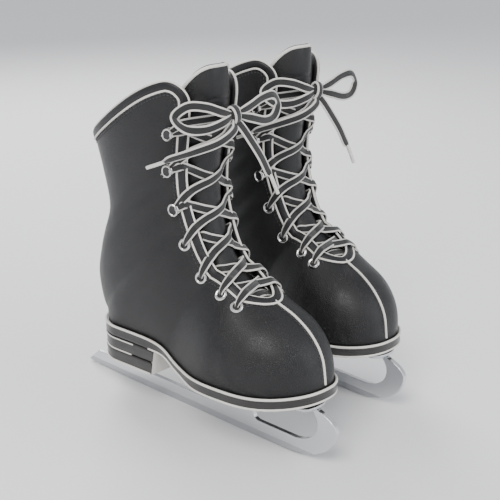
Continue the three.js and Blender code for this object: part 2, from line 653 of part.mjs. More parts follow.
// The knot and the two loops of the bow. hand is +1 when the loop that stands free is on +X.
function bow(hand) {
  const knot = new THREE.SphereGeometry(5, 10, 6).scale(0.9, 0.8, 1.1).translate(...knotAt.toArray());
  const loop = (list) => {
    const points = knotPath(list.map(([x, y, z]) => [x * hand, y, z]));
    return ribbon(points, points.map(() => FACE));
  };
  return joined(knot, loop(WIDE_LOOP), loop(FREE_LOOP));
}

// A free end of the lace, with its aglet.
function tail(hand, path) {
  const points = knotPath(path.map(([x, y, z]) => [x * hand, y, z]));
  const flat = ribbon(points.slice(0, -1), points.slice(0, -1).map(() => FACE));
  const tip = new THREE.ExtrudeGeometry(roundShape(1.5, 8), {
    steps: 2, bevelEnabled: false, extrudePath: new THREE.LineCurve3(points.at(-2), points.at(-1)),
  });
  return joined(flat, tip);
}

function roundShape(radius, sides) {
  const s = new THREE.Shape();
  for (let i = 0; i < sides; i++) {
    const a = (i / sides) * 2 * Math.PI;
    if (i) s.lineTo(radius * Math.cos(a), radius * Math.sin(a));
    else s.moveTo(radius, 0);
  }
  s.closePath();
  return s;
}

// ---- assembly ----
function material(color, roughness, metalness) {
  return new THREE.MeshStandardMaterial({ color, roughness, metalness });
}

const MATERIALS = {
  leather: material(0x17171a, 0.45, 0),
  piping: material(0xe9e7e2, 0.6, 0),
  lining: material(0x2a2a2d, 0.8, 0),
  sole: material(0x1d1a18, 0.5, 0),
  lace: material(0x1b1b1d, 0.85, 0),
  steel: material(0xc8cbd0, 0.25, 1),
};

// hand is the sign of the world's X that the skate's own +X (the outer side) points to.
function skate(suffix, hand) {
  const group = new THREE.Group();
  const add = (name, geometry, kind) => {
    const mesh = new THREE.Mesh(geometry, MATERIALS[kind]);
    mesh.name = `${name}_${suffix}`;
    group.add(mesh);
  };
  add("upper_outer", cut(upper(1), eyeletHoles(1)), "leather");
  add("upper_inner", cut(upper(-1), eyeletHoles(-1)), "leather");
  add("binding", binding(), "piping");
  add("backstay", centreStrip(9.5, 13.2, [1, 0.96, 0.9]), "leather");
  add("toe_seam", centreStrip(0.25, 3.7, [0, 0.012]), "piping");
  add("tongue", tongue(), "leather");
  add("insole", insole(), "lining");
  add("outsole", cut(outsole(), sockets(SOLE_SCREWS, solePlateLow)), "sole");
  for (let i = 0; i < LIFT_COUNT; i++)
    add(`heel_lift_${i + 1}`, cut(heelLift(i), sockets(HEEL_SCREWS, heelPlateLow)), "sole");
  add("blade", blade(), "steel");
  add("heel_plate", plate(HEEL_PLATE, 20, 23, heelPlateLow, HEEL_SCREWS), "steel");
  add("sole_plate", plate(SOLE_PLATE, 25, 14, solePlateLow, SOLE_SCREWS), "steel");
  HEEL_SCREWS.forEach((at, i) => add(`heel_screw_${i + 1}`, screw(at, heelPlateLow), "steel"));
  SOLE_SCREWS.forEach((at, i) => add(`sole_screw_${i + 1}`, screw(at, solePlateLow), "steel"));
  add("eyelets_outer", eyeletRow(1), "steel");
  add("eyelets_inner", eyeletRow(-1), "steel");
  for (let i = 0; i < HOOKS; i++) {
    add(`hook_outer_${i + 1}`, hook(EYELETS + i, 1), "steel");
    add(`hook_inner_${i + 1}`, hook(EYELETS + i, -1), "steel");
  }
  add("lace", laceRun(), "lace");
  add("lace_bow", bow(hand), "lace");
  add("lace_tail_near", tail(hand, NEAR_TAIL), "lace");
  add("lace_tail_far", tail(hand, FAR_TAIL), "lace");
  return group;
}

const right = skate("right", -1);
right.scale.x = -1;
right.position.set(-SPACING / 2, 0, 0);
const left = skate("left", 1);
left.position.set(SPACING / 2, LEFT_BACK, 0);
left.rotation.z = LEFT_TURN;

const pair = new THREE.Group();
pair.add(right, left);
pair.updateMatrixWorld(true);
const box = new THREE.Box3().setFromObject(pair, true);
const middle = box.getCenter(new THREE.Vector3());
pair.position.set(-middle.x, -middle.y, -box.min.z);

const skates = new THREE.Group();
skates.add(pair);
export default skates;
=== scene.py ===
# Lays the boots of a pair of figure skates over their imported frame: black leather with off-white piping, flat
# laces, nickel fittings and steel blades. One skate is worked out in its own frame, in millimetres: x to the
# outer side of the foot, y back towards the heel and z up from the ice. place() puts it on the right or left
# side of the row frame, in metres.
import math

import bmesh
import bpy
import numpy as np
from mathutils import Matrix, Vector


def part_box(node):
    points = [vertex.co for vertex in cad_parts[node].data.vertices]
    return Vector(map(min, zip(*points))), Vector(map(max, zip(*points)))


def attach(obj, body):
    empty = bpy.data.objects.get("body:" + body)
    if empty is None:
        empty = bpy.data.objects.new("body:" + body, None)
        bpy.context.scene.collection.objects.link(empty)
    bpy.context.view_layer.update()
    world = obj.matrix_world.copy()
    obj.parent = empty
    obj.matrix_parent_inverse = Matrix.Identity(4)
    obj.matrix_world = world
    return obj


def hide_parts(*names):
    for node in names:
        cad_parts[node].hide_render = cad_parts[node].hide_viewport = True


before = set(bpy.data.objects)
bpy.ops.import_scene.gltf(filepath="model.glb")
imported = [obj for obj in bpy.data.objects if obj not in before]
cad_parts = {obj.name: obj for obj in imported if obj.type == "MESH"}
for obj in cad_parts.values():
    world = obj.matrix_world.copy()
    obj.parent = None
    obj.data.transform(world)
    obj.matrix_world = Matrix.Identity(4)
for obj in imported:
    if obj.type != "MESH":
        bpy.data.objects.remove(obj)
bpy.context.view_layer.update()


# ---- Leather upper ----
# Two panels of black calf with their lining, 3.6 mm thick, are drawn over a last and sewn together down the
# middle of the toe and at the back seam. The skin is ruled by lines from the front ridge to the sole's edge or
# the back seam. Stations run from the toe (0) over the instep and up the shaft to the collar (14).
SOLE_LENGTH = 222
HEEL_TOP = 62.5  # top of the outsole at the heel
BALL_TOP = 55  # and at the ball of the foot
TOE_SPRING = 4
BOOT_HEIGHT = 150
WELT = 2.5
BALL_HALF = {1: 47, -1: 39}  # half width of the sole at the ball, outer and inner
WAIST_HALF = 29
HEEL_HALF = 31
SHAFT_HALF = 37
ANKLE_HALF = 33
TOE_SWING = 5  # the toe leans to the inner side of the foot
TOE_ROUND = 62  # length of the sole's round toe
UPPER = 3.6
GAP = 0.3
THROAT = 4.2  # station of the bottom of the lacing gap
THROAT_RISE = 0.7  # the throat's round, in stations
CORNER = 13.2  # station where the gap's side turns into the collar
COLLAR = 14.0
HEEL_STATION = 9
THROAT_HALF = 16  # half width of the lacing gap at the throat
TOP_GAP_HALF = 26  # and at the collar
CORNER_TURN = 0.11  # how far round the boot the corner cuts back
# At each station: how far forward the front ridge and the back are, in sole lengths, the ridge's height and,
# from station 8, the back's, in boot heights, the half width as a share of the shaft's, the share of the ruled
# line where the boot is widest, and how far the line bows up, in millimetres.
FRONT_U = [0.989, 0.973, 0.93, 0.863, 0.782, 0.712, 0.65, 0.588, 0.555, 0.543, 0.543, 0.551, 0.563, 0.577,
           0.585, 0.589]
FRONT_Z = [-0.02, 0.12, 0.215, 0.285, 0.335, 0.4, 0.485, 0.595, 0.725, 0.85, 0.965, 1.075, 1.18, 1.275, 1.36,
           1.52]
BACK_U = [0.989, 0.973, 0.935, 0.865, 0.755, 0.62, 0.465, 0.3, 0.15, 0.01, -0.029, 0.009, 0.053, 0.03, -0.011,
          -0.04]
BACK_RISE = [0, 0.002, 0.21, 0.43, 0.6, 0.8, 1, 1.2]
HALF = [0, 0, 0, 0, 0, 0.72, 0.84, 0.95, 1, 1, 1, 1, 1, 1, 1, 1]
WIDEST = [0.8, 0.8, 0.8, 0.8, 0.8, 0.78, 0.74, 0.68, 0.6, 0.54, 0.52, 0.5, 0.5, 0.5, 0.5, 0.5]
BOW = [0, 0, 0, 0, 0, 0, 0, 0, 0, 0, 0, 0, 2, 7, 14, 16]
SIDES = {"outer": 1, "inner": -1}


def mix(a, b, t):
    """A straight blend from a to b."""
    return a + (b - a) * t


def smooth(a, b, x):
    """0 before a, 1 after b, and 3t^2 - 2t^3 between."""
    t = np.clip((x - a) / (b - a), 0, 1)
    return t * t * (3 - 2 * t)


def through(values, at):
    """A smooth curve through evenly spaced values, by Catmull-Rom, with straight ends."""
    v = np.array([2 * values[0] - values[1], *values, 2 * values[-1] - values[-2]], float)
    at = np.asarray(at, float)
    i = np.clip(np.floor(at).astype(int), 0, len(values) - 2)
    t = at - i
    a, b, c, d = v[i], v[i + 1], v[i + 2], v[i + 3]
    return b + 0.5 * t * (c - a + t * (2 * a - 5 * b + 4 * c - d + t * (3 * (b - c) + d - a)))


def feather_height(u):
    """Height of the top of the outsole at a distance u from the heel: an S from the heel to the ball, and a
    parabola that lifts the toe."""
    share = u / SOLE_LENGTH
    spring = np.maximum(0, (share - 0.8) / 0.2)
    return mix(HEEL_TOP, BALL_TOP, smooth(0.26, 0.6, share)) + TOE_SPRING * spring**2


def swing(u):
    """How far the middle of the foot leans to the inner side."""
    return -TOE_SWING * smooth(0.55, 1, u / SOLE_LENGTH)


def sole_half(u, side, inset):
    """Half width of the sole: a smooth curve through nine widths, closed by a superellipse of power 2.3 at the
    toe and a half circle at the heel."""
    def one(ball):
        widths = [HEEL_HALF, HEEL_HALF, WAIST_HALF + 1, WAIST_HALF + 1, mix(WAIST_HALF, ball, 0.55),
                  mix(WAIST_HALF, ball, 0.95), ball, ball - 1, ball - 5]
        base = through(widths, u / SOLE_LENGTH * 8) - inset
        toe = np.clip((u - SOLE_LENGTH + TOE_ROUND) / (TOE_ROUND - inset), 0, 1)
        heel = np.clip((HEEL_HALF - u) / (HEEL_HALF - inset), 0, 1)
        return base * (1 - toe**2.3) ** (1 / 2.3) * np.sqrt(1 - heel**2)
    return np.where(np.asarray(side) > 0, one(BALL_HALF[1]), one(BALL_HALF[-1]))


def skin(s, around, side, inset=0.0):
    """A point of the boot's skin. It runs from the front ridge (around 0) to the sole's edge or the back seam
    (around 1) at station s: along a straight line in side view, and out from the middle by a superellipse of
    power 2.2 to the widest place and one of power 2.4 behind it. inset moves it into the leather."""
    s, around, side = np.broadcast_arrays(np.asarray(s, float), np.asarray(around, float),
                                          np.asarray(side, float))
    front_u = through(FRONT_U, s) * SOLE_LENGTH
    toe_lift = (BALL_TOP + TOE_SPRING - HEEL_TOP) * 0.4
    front_z = HEEL_TOP + through(FRONT_Z, s) * BOOT_HEIGHT + toe_lift * (1 - smooth(0, 4, s))
    on_sole = s <= HEEL_STATION
    back_u = through(BACK_U, s) * SOLE_LENGTH
    back_u = np.where(on_sole, np.clip(back_u, WELT + inset, SOLE_LENGTH - WELT - inset), back_u)
    rise = HEEL_TOP + through(BACK_RISE, np.maximum(s - HEEL_STATION + 1, 0)) * BOOT_HEIGHT
    back_z = np.where(on_sole, feather_height(back_u) + GAP, rise)
    at_toe = s < 1e-6
    front_u = np.where(at_toe, back_u, front_u)
    front_z = np.where(at_toe, back_z, front_z)
    length = np.maximum(np.hypot(back_u - front_u, back_z - front_z), 1e-6)
    short_front = np.where(at_toe, 0, inset / length)
    short_back = np.where(on_sole, 0, short_front)
    half = through(HALF, s) * mix(ANKLE_HALF, SHAFT_HALF, smooth(11, COLLAR, s))
    edge = np.where(on_sole, sole_half(back_u, side, WELT + inset), 0)
    widest = np.maximum(np.maximum(half - inset, edge * 1.02), 1e-6)
    end = np.clip(edge / widest, 0, 1)
    turn = through(WIDEST, s)
    before = turn * (1 - np.cos(around * np.pi))
    x = np.sin(np.clip(around - 0.5, 0, 0.5) * np.pi)
    t = np.where(around < 0.5, before, mix(turn, 1, x))
    rising = np.maximum(0, 1 - np.maximum(0, 1 - before / turn) ** 2.2) ** (1 / 2.2)
    falling = np.maximum(0, 1 - (1 - end**2.4) * x**2.4) ** (1 / 2.4)
    share = np.where(around < 0.5, rising, falling)
    along = mix(short_front, 1 - short_back, t)
    u = mix(front_u, back_u, along)
    z = mix(front_z, back_z, along) + through(BOW, s) * 6.75 * t * (1 - t) ** 2
    return np.stack([swing(u) + side * widest * share, -u, z], -1)


def around_at_half(s, half):
    """How far round the boot the skin is a given half width from the middle, by halving the range."""
    s, half = np.broadcast_arrays(np.asarray(s, float), np.asarray(half, float))
    low, high = np.zeros(s.shape), np.full(s.shape, 0.5)
    middle_x = skin(s, 0.0, 1.0)[..., 0]
    for _ in range(24):
        middle = (low + high) / 2
        short = np.abs(skin(s, middle, 1.0)[..., 0] - middle_x) < half
        low, high = np.where(short, middle, low), np.where(short, high, middle)
    return low


def gap_edge(s):
    """How far round the boot the lacing gap's edge is: a round throat, a straight widening to the collar, and a
    round corner."""
    opened = np.sqrt(np.clip((s - THROAT) / THROAT_RISE, 0, 1))
    half = mix(THROAT_HALF, TOP_GAP_HALF, (s - THROAT) / (COLLAR - THROAT)) * opened
    corner = np.clip((s - CORNER) / (COLLAR - CORNER), 0, 1)
    return around_at_half(s, half) + CORNER_TURN * (1 - np.sqrt(1 - corner**2))


# The right skate is the mirror image of the left one, which stands further back and toes in a little.
SKATES = {"right": -1, "left": 1}  # the sign of the row frame's X that the outer side points to
TAIL = 41  # the blade passes the heel by this much
right_low, right_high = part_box("blade_right")
RIGHT_AT = np.array([(right_low[0] + right_high[0]) / 2, right_high[1] - TAIL / 1000, 0])
LEFT_AT = RIGHT_AT + [0.118, 0.0166, 0]
LEFT_TURN = math.radians(-2.9)


def place(points, name):
    """Points of the skate's own frame, in millimetres, as points of the row frame, in metres."""
    p = np.asarray(points, float) / 1000
    if name == "right":
        return p * [-1, 1, 1] + RIGHT_AT
    c, s = math.cos(LEFT_TURN), math.sin(LEFT_TURN)
    return np.stack([c * p[..., 0] - s * p[..., 1], s * p[..., 0] + c * p[..., 1], p[..., 2]], -1) + LEFT_AT


def grid_quads(rows, columns, wrap_rows=False, wrap_columns=False):
    """The quads of a grid of points that are numbered row by row, closed on itself where asked."""
    a = np.arange(rows if wrap_rows else rows - 1)[:, None]
    b = np.arange(columns if wrap_columns else columns - 1)[None, :]
    a2, b2 = (a + 1) % rows, (b + 1) % columns
    corners = np.broadcast_arrays(a * columns + b, a2 * columns + b, a2 * columns + b2, a * columns + b2)
    return np.stack([c.ravel() for c in corners], -1)


def shell(outer, inner):
    """The points and quads of a closed solid between two grids of points, with a wall round their edge, and
    each quad's kind: 0 outer face, 1 inner face, 2 wall."""
    rows, columns = outer.shape[:2]
    count = rows * columns
    number = np.arange(count).reshape(rows, columns)
    rim = np.concatenate([number[0], number[1:, -1], number[-1, -2::-1], number[-2:0:-1, 0]])
    after = np.roll(rim, -1)
    faces = grid_quads(rows, columns)
    wall = np.stack([rim, after, after + count, rim + count], -1)
    points = np.concatenate([outer.reshape(-1, 3), inner.reshape(-1, 3)])
    quads = np.concatenate([faces, faces[:, ::-1] + count, wall])
    kinds = np.repeat([0, 1, 2], [len(faces), len(faces), len(wall)])
    return points, quads, kinds


def make(name, points, quads, skate, materials, slot, nodes=(), body="skates", kinds=None, uv=None, angle=40):
    """A piece from points of the skate's frame and the quads between them. Points that coincide, as at poles,
    are merged, and the faces are turned to face outwards. kinds gives each quad's material, and uv each point's
    place on the pattern."""
    mesh = bpy.data.meshes.new(name)
    mesh.vertices.add(len(points))
    mesh.vertices.foreach_set("co", place(points, skate).astype(np.float32).ravel())
    mesh.loops.add(quads.size)
    mesh.loops.foreach_set("vertex_index", quads.astype(np.int32).ravel())
    mesh.polygons.add(len(quads))
    mesh.polygons.foreach_set("loop_start", np.arange(0, quads.size, 4, dtype=np.int32))
    if kinds is not None:
        mesh.polygons.foreach_set("material_index", kinds.astype(np.int32))
    mesh.update(calc_edges=True)
    if uv is not None:
        layer = mesh.uv_layers.new(name="UVMap")
        layer.data.foreach_set("uv", uv[quads.ravel()].astype(np.float32).ravel())
    work = bmesh.new()
    work.from_mesh(mesh)
    bmesh.ops.remove_doubles(work, verts=work.verts, dist=2e-6)
    bmesh.ops.dissolve_degenerate(work, edges=work.edges, dist=1e-7)
    bmesh.ops.recalc_face_normals(work, faces=work.faces)
    if work.calc_volume(signed=True) < 0:
        bmesh.ops.reverse_faces(work, faces=work.faces)
    work.to_mesh(mesh)
    work.free()
    mesh.shade_smooth()
    mesh.set_sharp_from_angle(angle=math.radians(angle))
    piece = bpy.data.objects.new(name, mesh)
    bpy.context.scene.collection.objects.link(piece)
    for material in materials:
        mesh.materials.append(material)
    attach(piece, body)
    if nodes:
        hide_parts(*nodes)
    return piece


def finish_of(name, color, roughness, metallic=0.0, **values):
    """A Principled material, with its shader and a helper that adds a node and links its inputs."""
    material = bpy.data.materials.new(name)
    material.use_nodes = True
    tree = material.node_tree
    shader = tree.nodes["Principled BSDF"]
    shader.inputs["Base Color"].default_value = (*color, 1)
    shader.inputs["Roughness"].default_value = roughness
    shader.inputs["Metallic"].default_value = metallic
    for key, value in values.items():
        shader.inputs[key.replace("_", " ")].default_value = value

    def add(kind, settings=(), **inputs):
        node = tree.nodes.new(kind)
        for key, value in dict(settings).items():
            setattr(node, key, value)
        for key, value in inputs.items():
            socket = node.inputs[int(key[1:]) if key[0] == "i" and key[1:].isdigit() else key.replace("_", " ")]
            if isinstance(value, bpy.types.NodeSocket):
                tree.links.new(value, socket)
            else:
                socket.default_value = value
        return node
    return material, tree, shader, add


def tone(tree, add, shader, factor, dark, light, socket="Base Color", at=(0.3, 0.7)):
    """Blends two colours or values by a factor between two of its levels."""
    ramp = add("ShaderNodeValToRGB", i0=factor)
    stops = ramp.color_ramp.elements
    stops[0].position, stops[1].position = at
    as_color = lambda c: (*c, 1) if isinstance(c, tuple) else (c, c, c, 1)
    stops[0].color, stops[1].color = as_color(dark), as_color(light)
    tree.links.new(ramp.outputs[0], shader.inputs[socket])
    return ramp


def leather_finish(name, dark, light, grain, depth, rough=(0.34, 0.5), coat=0.12):
    """Grained leather: small rounded cells with fine creases between them, broad soft wear in the colour, and a
    light polish that is duller where that wear is lighter."""
    material, tree, shader, add = finish_of(name, light, rough[0], Coat_Weight=coat, Coat_Roughness=0.28,
                                            Specular_IOR_Level=0.36)
    place_of = add("ShaderNodeTexCoord").outputs["Object"]
    bend = add("ShaderNodeTexNoise", Vector=place_of, Scale=grain * 0.35, Detail=2.0)
    warped = add("ShaderNodeVectorMath", {"operation": "MULTIPLY_ADD"}, i0=bend.outputs["Color"],
                 i1=(0.0007, 0.0007, 0.0007), i2=place_of)
    cells = add("ShaderNodeTexVoronoi", {"feature": "DISTANCE_TO_EDGE"}, Vector=warped.outputs[0], Scale=grain)
    creases = add("ShaderNodeMapRange", Value=cells.outputs["Distance"], From_Max=0.16)
    broad = add("ShaderNodeTexNoise", Vector=place_of, Scale=38.0, Detail=4.0, Roughness=0.6)
    height = add("ShaderNodeMath", {"operation": "MULTIPLY_ADD"}, i0=broad.outputs["Fac"], i1=0.8,
                 i2=creases.outputs[0])
    bump = add("ShaderNodeBump", Height=height.outputs[0], Strength=0.55, Distance=depth)
    tree.links.new(bump.outputs[0], shader.inputs["Normal"])
    tone(tree, add, shader, broad.outputs["Fac"], dark, light)
    tone(tree, add, shader, broad.outputs["Fac"], rough[0], rough[1], "Roughness")
    return material


def lining_finish():
    """A brushed lining cloth: short fibres and soft mottling."""
    material, tree, shader, add = finish_of("lining_cloth", (0.11, 0.1, 0.095), 0.9, Sheen_Weight=0.4)
    place_of = add("ShaderNodeTexCoord").outputs["Object"]
    fibres = add("ShaderNodeTexNoise", Vector=place_of, Scale=1500.0, Detail=3.0)
    broad = add("ShaderNodeTexNoise", Vector=place_of, Scale=60.0, Detail=2.0)
    bump = add("ShaderNodeBump", Height=fibres.outputs["Fac"], Strength=0.5, Distance=0.0002)
    tree.links.new(bump.outputs[0], shader.inputs["Normal"])
    tone(tree, add, shader, broad.outputs["Fac"], (0.075, 0.07, 0.066), (0.135, 0.125, 0.115))
    return material


boot_leather = leather_finish("boot_leather_black", (0.005, 0.005, 0.006), (0.011, 0.011, 0.012), 760.0,
                              0.00022, (0.36, 0.5), 0.1)
lining_cloth = lining_finish()
TOE_ROWS = np.linspace(0, THROAT, 56)
THROAT_ROWS = THROAT + THROAT_RISE * np.linspace(0, 1, 16)[1:] ** 2
SIDE_ROWS = np.linspace(THROAT + THROAT_RISE, CORNER, 110)[1:]
CORNER_ROWS = CORNER + (COLLAR - CORNER) * np.sin(np.linspace(0, np.pi / 2, 14)[1:])
PANEL_ROWS = np.concatenate([TOE_ROWS, THROAT_ROWS, SIDE_ROWS, CORNER_ROWS])
PANEL_COLUMNS = (1 - np.cos(np.linspace(0, np.pi, 64))) / 2


def creases(s, around, side):
    """How far the worn leather stands off its last, in millimetres: sine folds that fan out from the front of
    the ankle, and shallow dents where the foot bends at the ball."""
    ankle = smooth(7.2, 8.6, s) * (1 - smooth(10.4, 12.0, s))
    ankle = ankle * smooth(0.2, 0.42, around) * (1 - smooth(0.6, 0.95, around))
    folds = np.sin(6.2 * (s - 1.5 * (around - 0.4)) + 0.8 * side) * 0.55
    ball = smooth(2.2, 3.0, s) * (1 - smooth(4.0, 5.2, s))
    ball = ball * smooth(0.25, 0.5, around) * (1 - smooth(0.7, 0.95, around))
    dents = np.sin(8.0 * (s + 1.2 * around) + side) * 0.3
    return ankle * folds + ball * dents


def panel(side):
    """One panel as points, quads and kinds: the creased skin outside, the lining side within it, and the wall
    between them."""
    s = PANEL_ROWS[:, None]
    around = mix(gap_edge(PANEL_ROWS)[:, None], 1, PANEL_COLUMNS[None, :])
    outer = skin(s, around, side, -creases(s, around, side))
    inner = skin(s, around, side, UPPER)
    outer[..., 0] += side * GAP / 2
    inner[..., 0] += side * GAP / 2
    return shell(outer, inner)


for skate in SKATES:
    for label, side in SIDES.items():
        points, quads, kinds = panel(side)
        make(f"panel_{label}_{skate}", points, quads, skate, [boot_leather, lining_cloth], "boot_leather",
             [f"upper_{label}_{skate}"], kinds=np.where(kinds == 1, 1, 0), angle=50)


# ---- Rows of stitches ----
# Waxed black thread, 3.2 stitches to the centimetre, sunk into the leather: two rows beside the binding and one
# on each side of the toe seam.
STITCH = 2.3
PITCH = 3.1
THREAD = 0.36  # radius
THROAT_END = 0.12  # share of the opening's edge where the throat's round ends
SIDE_END = 0.5  # where the gap's side ends
CORNER_END = 0.62  # and where the corner's round ends


def unit(v):
    """Directions of length one."""
    return v / np.maximum(np.linalg.norm(v, axis=-1, keepdims=True), 1e-9)


def skin_out(s, around, side):
    """The skin's outward direction: the cross product of its slopes round the boot and up it."""
    s, around, side = np.broadcast_arrays(np.asarray(s, float), np.asarray(around, float),
                                          np.asarray(side, float))
    low, high = np.clip(around - 0.004, 0, 1), np.clip(around + 0.004, 0, 1)
    round_ = skin(s, high, side) - skin(s, low, side)
    up = skin(s + 0.01, around, side) - skin(np.maximum(s - 0.01, 0.002), around, side)
    return unit(np.cross(round_, up) * side[..., None])


def opening_edge(p):
    """Station and around of the opening's edge, from the throat (0) up the gap's side, round the corner and
    along the collar to the back seam (1)."""
    p = np.asarray(p, float)
    up = (p - THROAT_END) / (SIDE_END - THROAT_END)
    turn = (p - SIDE_END) / (CORNER_END - SIDE_END)
    s = np.select([p < THROAT_END, p < SIDE_END, p < CORNER_END],
                  [THROAT + THROAT_RISE * (p / THROAT_END) ** 2, mix(THROAT + THROAT_RISE, CORNER, up),
                   CORNER + (COLLAR - CORNER) * np.sin(turn * np.pi / 2)], COLLAR)
    return s, mix(gap_edge(s), 1, np.clip((p - CORNER_END) / (1 - CORNER_END), 0, 1))


def edge_spot(p, side, distance):
    """Station and around of the point a distance into the leather from the opening's edge: a step square to
    the edge, solved from the skin's two slopes."""
    p, side, distance = np.broadcast_arrays(np.asarray(p, float), np.asarray(side, float),
                                            np.asarray(distance, float))
    s, around = opening_edge(p)
    step = 0.004
    at = skin(s, around, side)
    by_s = (skin(s + step, around, side) - at) / step
    lean = np.where(around + step > 1, -step, step)
    by_a = (skin(s, around + lean, side) - at) / lean[..., None]
    s0, a0 = opening_edge(np.maximum(p - 0.003, 0))
    s1, a1 = opening_edge(np.minimum(p + 0.003, 1))
    along = unit(skin(s1, a1, side) - skin(s0, a0, side))
    out = unit(np.cross(by_a, by_s))
    inward = unit(np.cross(along, out)) * distance[..., None]
    e, f, g = (by_s * by_s).sum(-1), (by_s * by_a).sum(-1), (by_a * by_a).sum(-1)
    m, n = (inward * by_s).sum(-1), (inward * by_a).sum(-1)
    det = e * g - f * f
    return s + (m * g - n * f) / det, around + (n * e - m * f) / det


def edge_line(side, distance, low, high):
    """A line on the skin at a distance from the opening's edge, between two shares of that edge, with the
    skin's outward direction along it."""
    s, around = edge_spot(np.linspace(low, high, 400), side, distance)
    around = np.minimum(np.abs(around), 0.999)
    return skin(s, around, side, -0.1), skin_out(s, around, side)


def together(*solids):
    """Several lots of points and quads as one."""
    starts = np.cumsum([0] + [len(s[0]) for s in solids[:-1]])
    return (np.concatenate([s[0] for s in solids]),
            np.concatenate([s[1] + n for s, n in zip(solids, starts)]))


def stitches(path, out):
    """Short rounded bars along a path, each tilted a little, on the surface whose outward direction is given. A
    bar is five rings of six points that swell in the middle, arched by a parabola and closed at both ends."""
    run = np.concatenate([[0], np.cumsum(np.linalg.norm(np.diff(path, axis=0), axis=1))])
    middles = np.arange(PITCH / 2, run[-1] - PITCH / 2, PITCH)
    spot = lambda values, at: np.stack([np.interp(at, run, values[:, k]) for k in range(3)], -1)
    centre, away = spot(path, middles), unit(spot(out, middles))
    along = unit(spot(path, middles + STITCH / 2) - spot(path, middles - STITCH / 2))
    across = unit(np.cross(along, away))
    tilt = unit(along + 0.16 * across)[:, None, None]
    across, away = across[:, None, None], away[:, None, None]
    t = np.array([-1.0, -0.7, 0.0, 0.7, 1.0])[None, :, None, None]
    size = np.array([0.05, 0.8, 1.0, 0.8, 0.05])[None, :, None, None] * THREAD
    turn = (np.arange(6) / 6 * 2 * np.pi)[None, None, :, None]
    ring = np.cos(turn) * across + np.sin(turn) * away
    arch = (0.25 - 0.5 * t**2) * away * THREAD * 2
    points = centre[:, None, None] + tilt * t * STITCH / 2 + arch + ring * size
    caps = np.array([[0, 5, 1, 1], [1, 5, 4, 2], [2, 4, 3, 3]])
    one = np.concatenate([grid_quads(5, 6, wrap_columns=True), caps, caps[:, ::-1] + 24])
    quads = (one[None] + 30 * np.arange(len(middles))[:, None, None]).reshape(-1, 4)
    return points.reshape(-1, 3), quads


def add_stitches(name, rows, skate, material):
    """One piece from several rows of stitches. A quad whose last two corners are the same is a triangle."""
    points, quads = together(*rows)
    solid = quads[:, 2] != quads[:, 3]
    mesh = bpy.data.meshes.new(name)
    faces = [list(q) for q in quads[solid]] + [list(q[:3]) for q in quads[~solid]]
    mesh.from_pydata(place(points, skate).tolist(), [], faces)
    mesh.shade_smooth()
    work = bmesh.new()
    work.from_mesh(mesh)
    bmesh.ops.recalc_face_normals(work, faces=work.faces)
    work.to_mesh(mesh)
    work.free()
    piece = bpy.data.objects.new(name, mesh)
    bpy.context.scene.collection.objects.link(piece)
    mesh.materials.append(material)
    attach(piece, "skates")


def thread_finish(name, color):
    """Waxed sewing thread: fine slanted plies."""
    material, tree, shader, add = finish_of(name, color, 0.5)
    place_of = add("ShaderNodeTexCoord").outputs["Object"]
    plies = add("ShaderNodeTexWave", {"bands_direction": "DIAGONAL"}, Vector=place_of, Scale=2600.0 / 6.28)
    bump = add("ShaderNodeBump", Height=plies.outputs["Fac"], Strength=0.4, Distance=0.0001)
    tree.links.new(bump.outputs[0], shader.inputs["Normal"])
    tone(tree, add, shader, plies.outputs["Fac"], tuple(0.82 * c for c in color), color)
    return material


black_thread = thread_finish("black_thread", (0.05, 0.05, 0.055))
for skate in SKATES:
    rows = []
    for side in (1, -1):
        rows.append(stitches(*edge_line(side, 7.0, 0.09, 0.985)))
        rows.append(stitches(*edge_line(side, 8.6, 0.1, 0.985)))
        seam = np.linspace(0.3, 3.85, 200)
        beside = around_at_half(seam, 2.6)
        rows.append(stitches(skin(seam, beside, side, -0.1), skin_out(seam, beside, side)))
    add_stitches(f"panel_stitches_{skate}", rows, skate, black_thread)


# ---- Binding of the opening ----
# A strip of thin black leather folded over the whole edge, between two cords of off-white piping: one on the
# fold and one along its lower edge.
band_leather = leather_finish("band_leather_black", (0.005, 0.005, 0.006), (0.01, 0.01, 0.012), 1300.0, 0.0001)
piping_leather = leather_finish("piping_leather_off_white", (0.66, 0.64, 0.59), (0.78, 0.76, 0.71), 1700.0,
                                0.00006, (0.42, 0.56), 0.05)
RING_POINTS = 230
# The folded strip's section: (distance in from the edge, depth below the skin).
FOLD = [(5.2, 0.3), (5.25, -0.6), (4.4, -1.2), (2.8, -1.35), (1.2, -1.35), (0, -1.1), (-0.9, -0.4),
        (-1.35, 0.7), (-1.5, 1.8), (-1.35, 2.9), (-0.9, 4.0), (0, 4.7), (1.2, 4.95), (2.8, 4.95), (4.4, 4.8),
        (5.25, 4.2), (5.2, 3.3)]
EDGE_CORDS = [(-1.35, 0.5, 0.95), (5.6, -0.75, 0.85)]  # distance in, depth and radius of the two cords


def near_edge(p, side, distance, inset=0.0):
    """A point of the skin a distance into the leather from the opening's edge, on the middle at both ends."""
    s, around = edge_spot(p, side, distance)
    point = skin(s, np.minimum(np.abs(around), 1), np.where(around < 0, -side, side), inset)
    ends = (np.asarray(p) == 0) | (np.asarray(p) == 1)
    point[..., 0] = np.where(ends, swing(-point[..., 1]), point[..., 0])
    return point


def opening_ring(count, distance, inset):
    """Points all the way round the opening, up one side from the throat to the back seam and down the other."""
    p = np.linspace(0, 1, count)
    one = near_edge(p, 1.0, distance, inset)
    two = near_edge(p[-2:0:-1], -1.0, distance, inset)
    return np.concatenate([one, two])


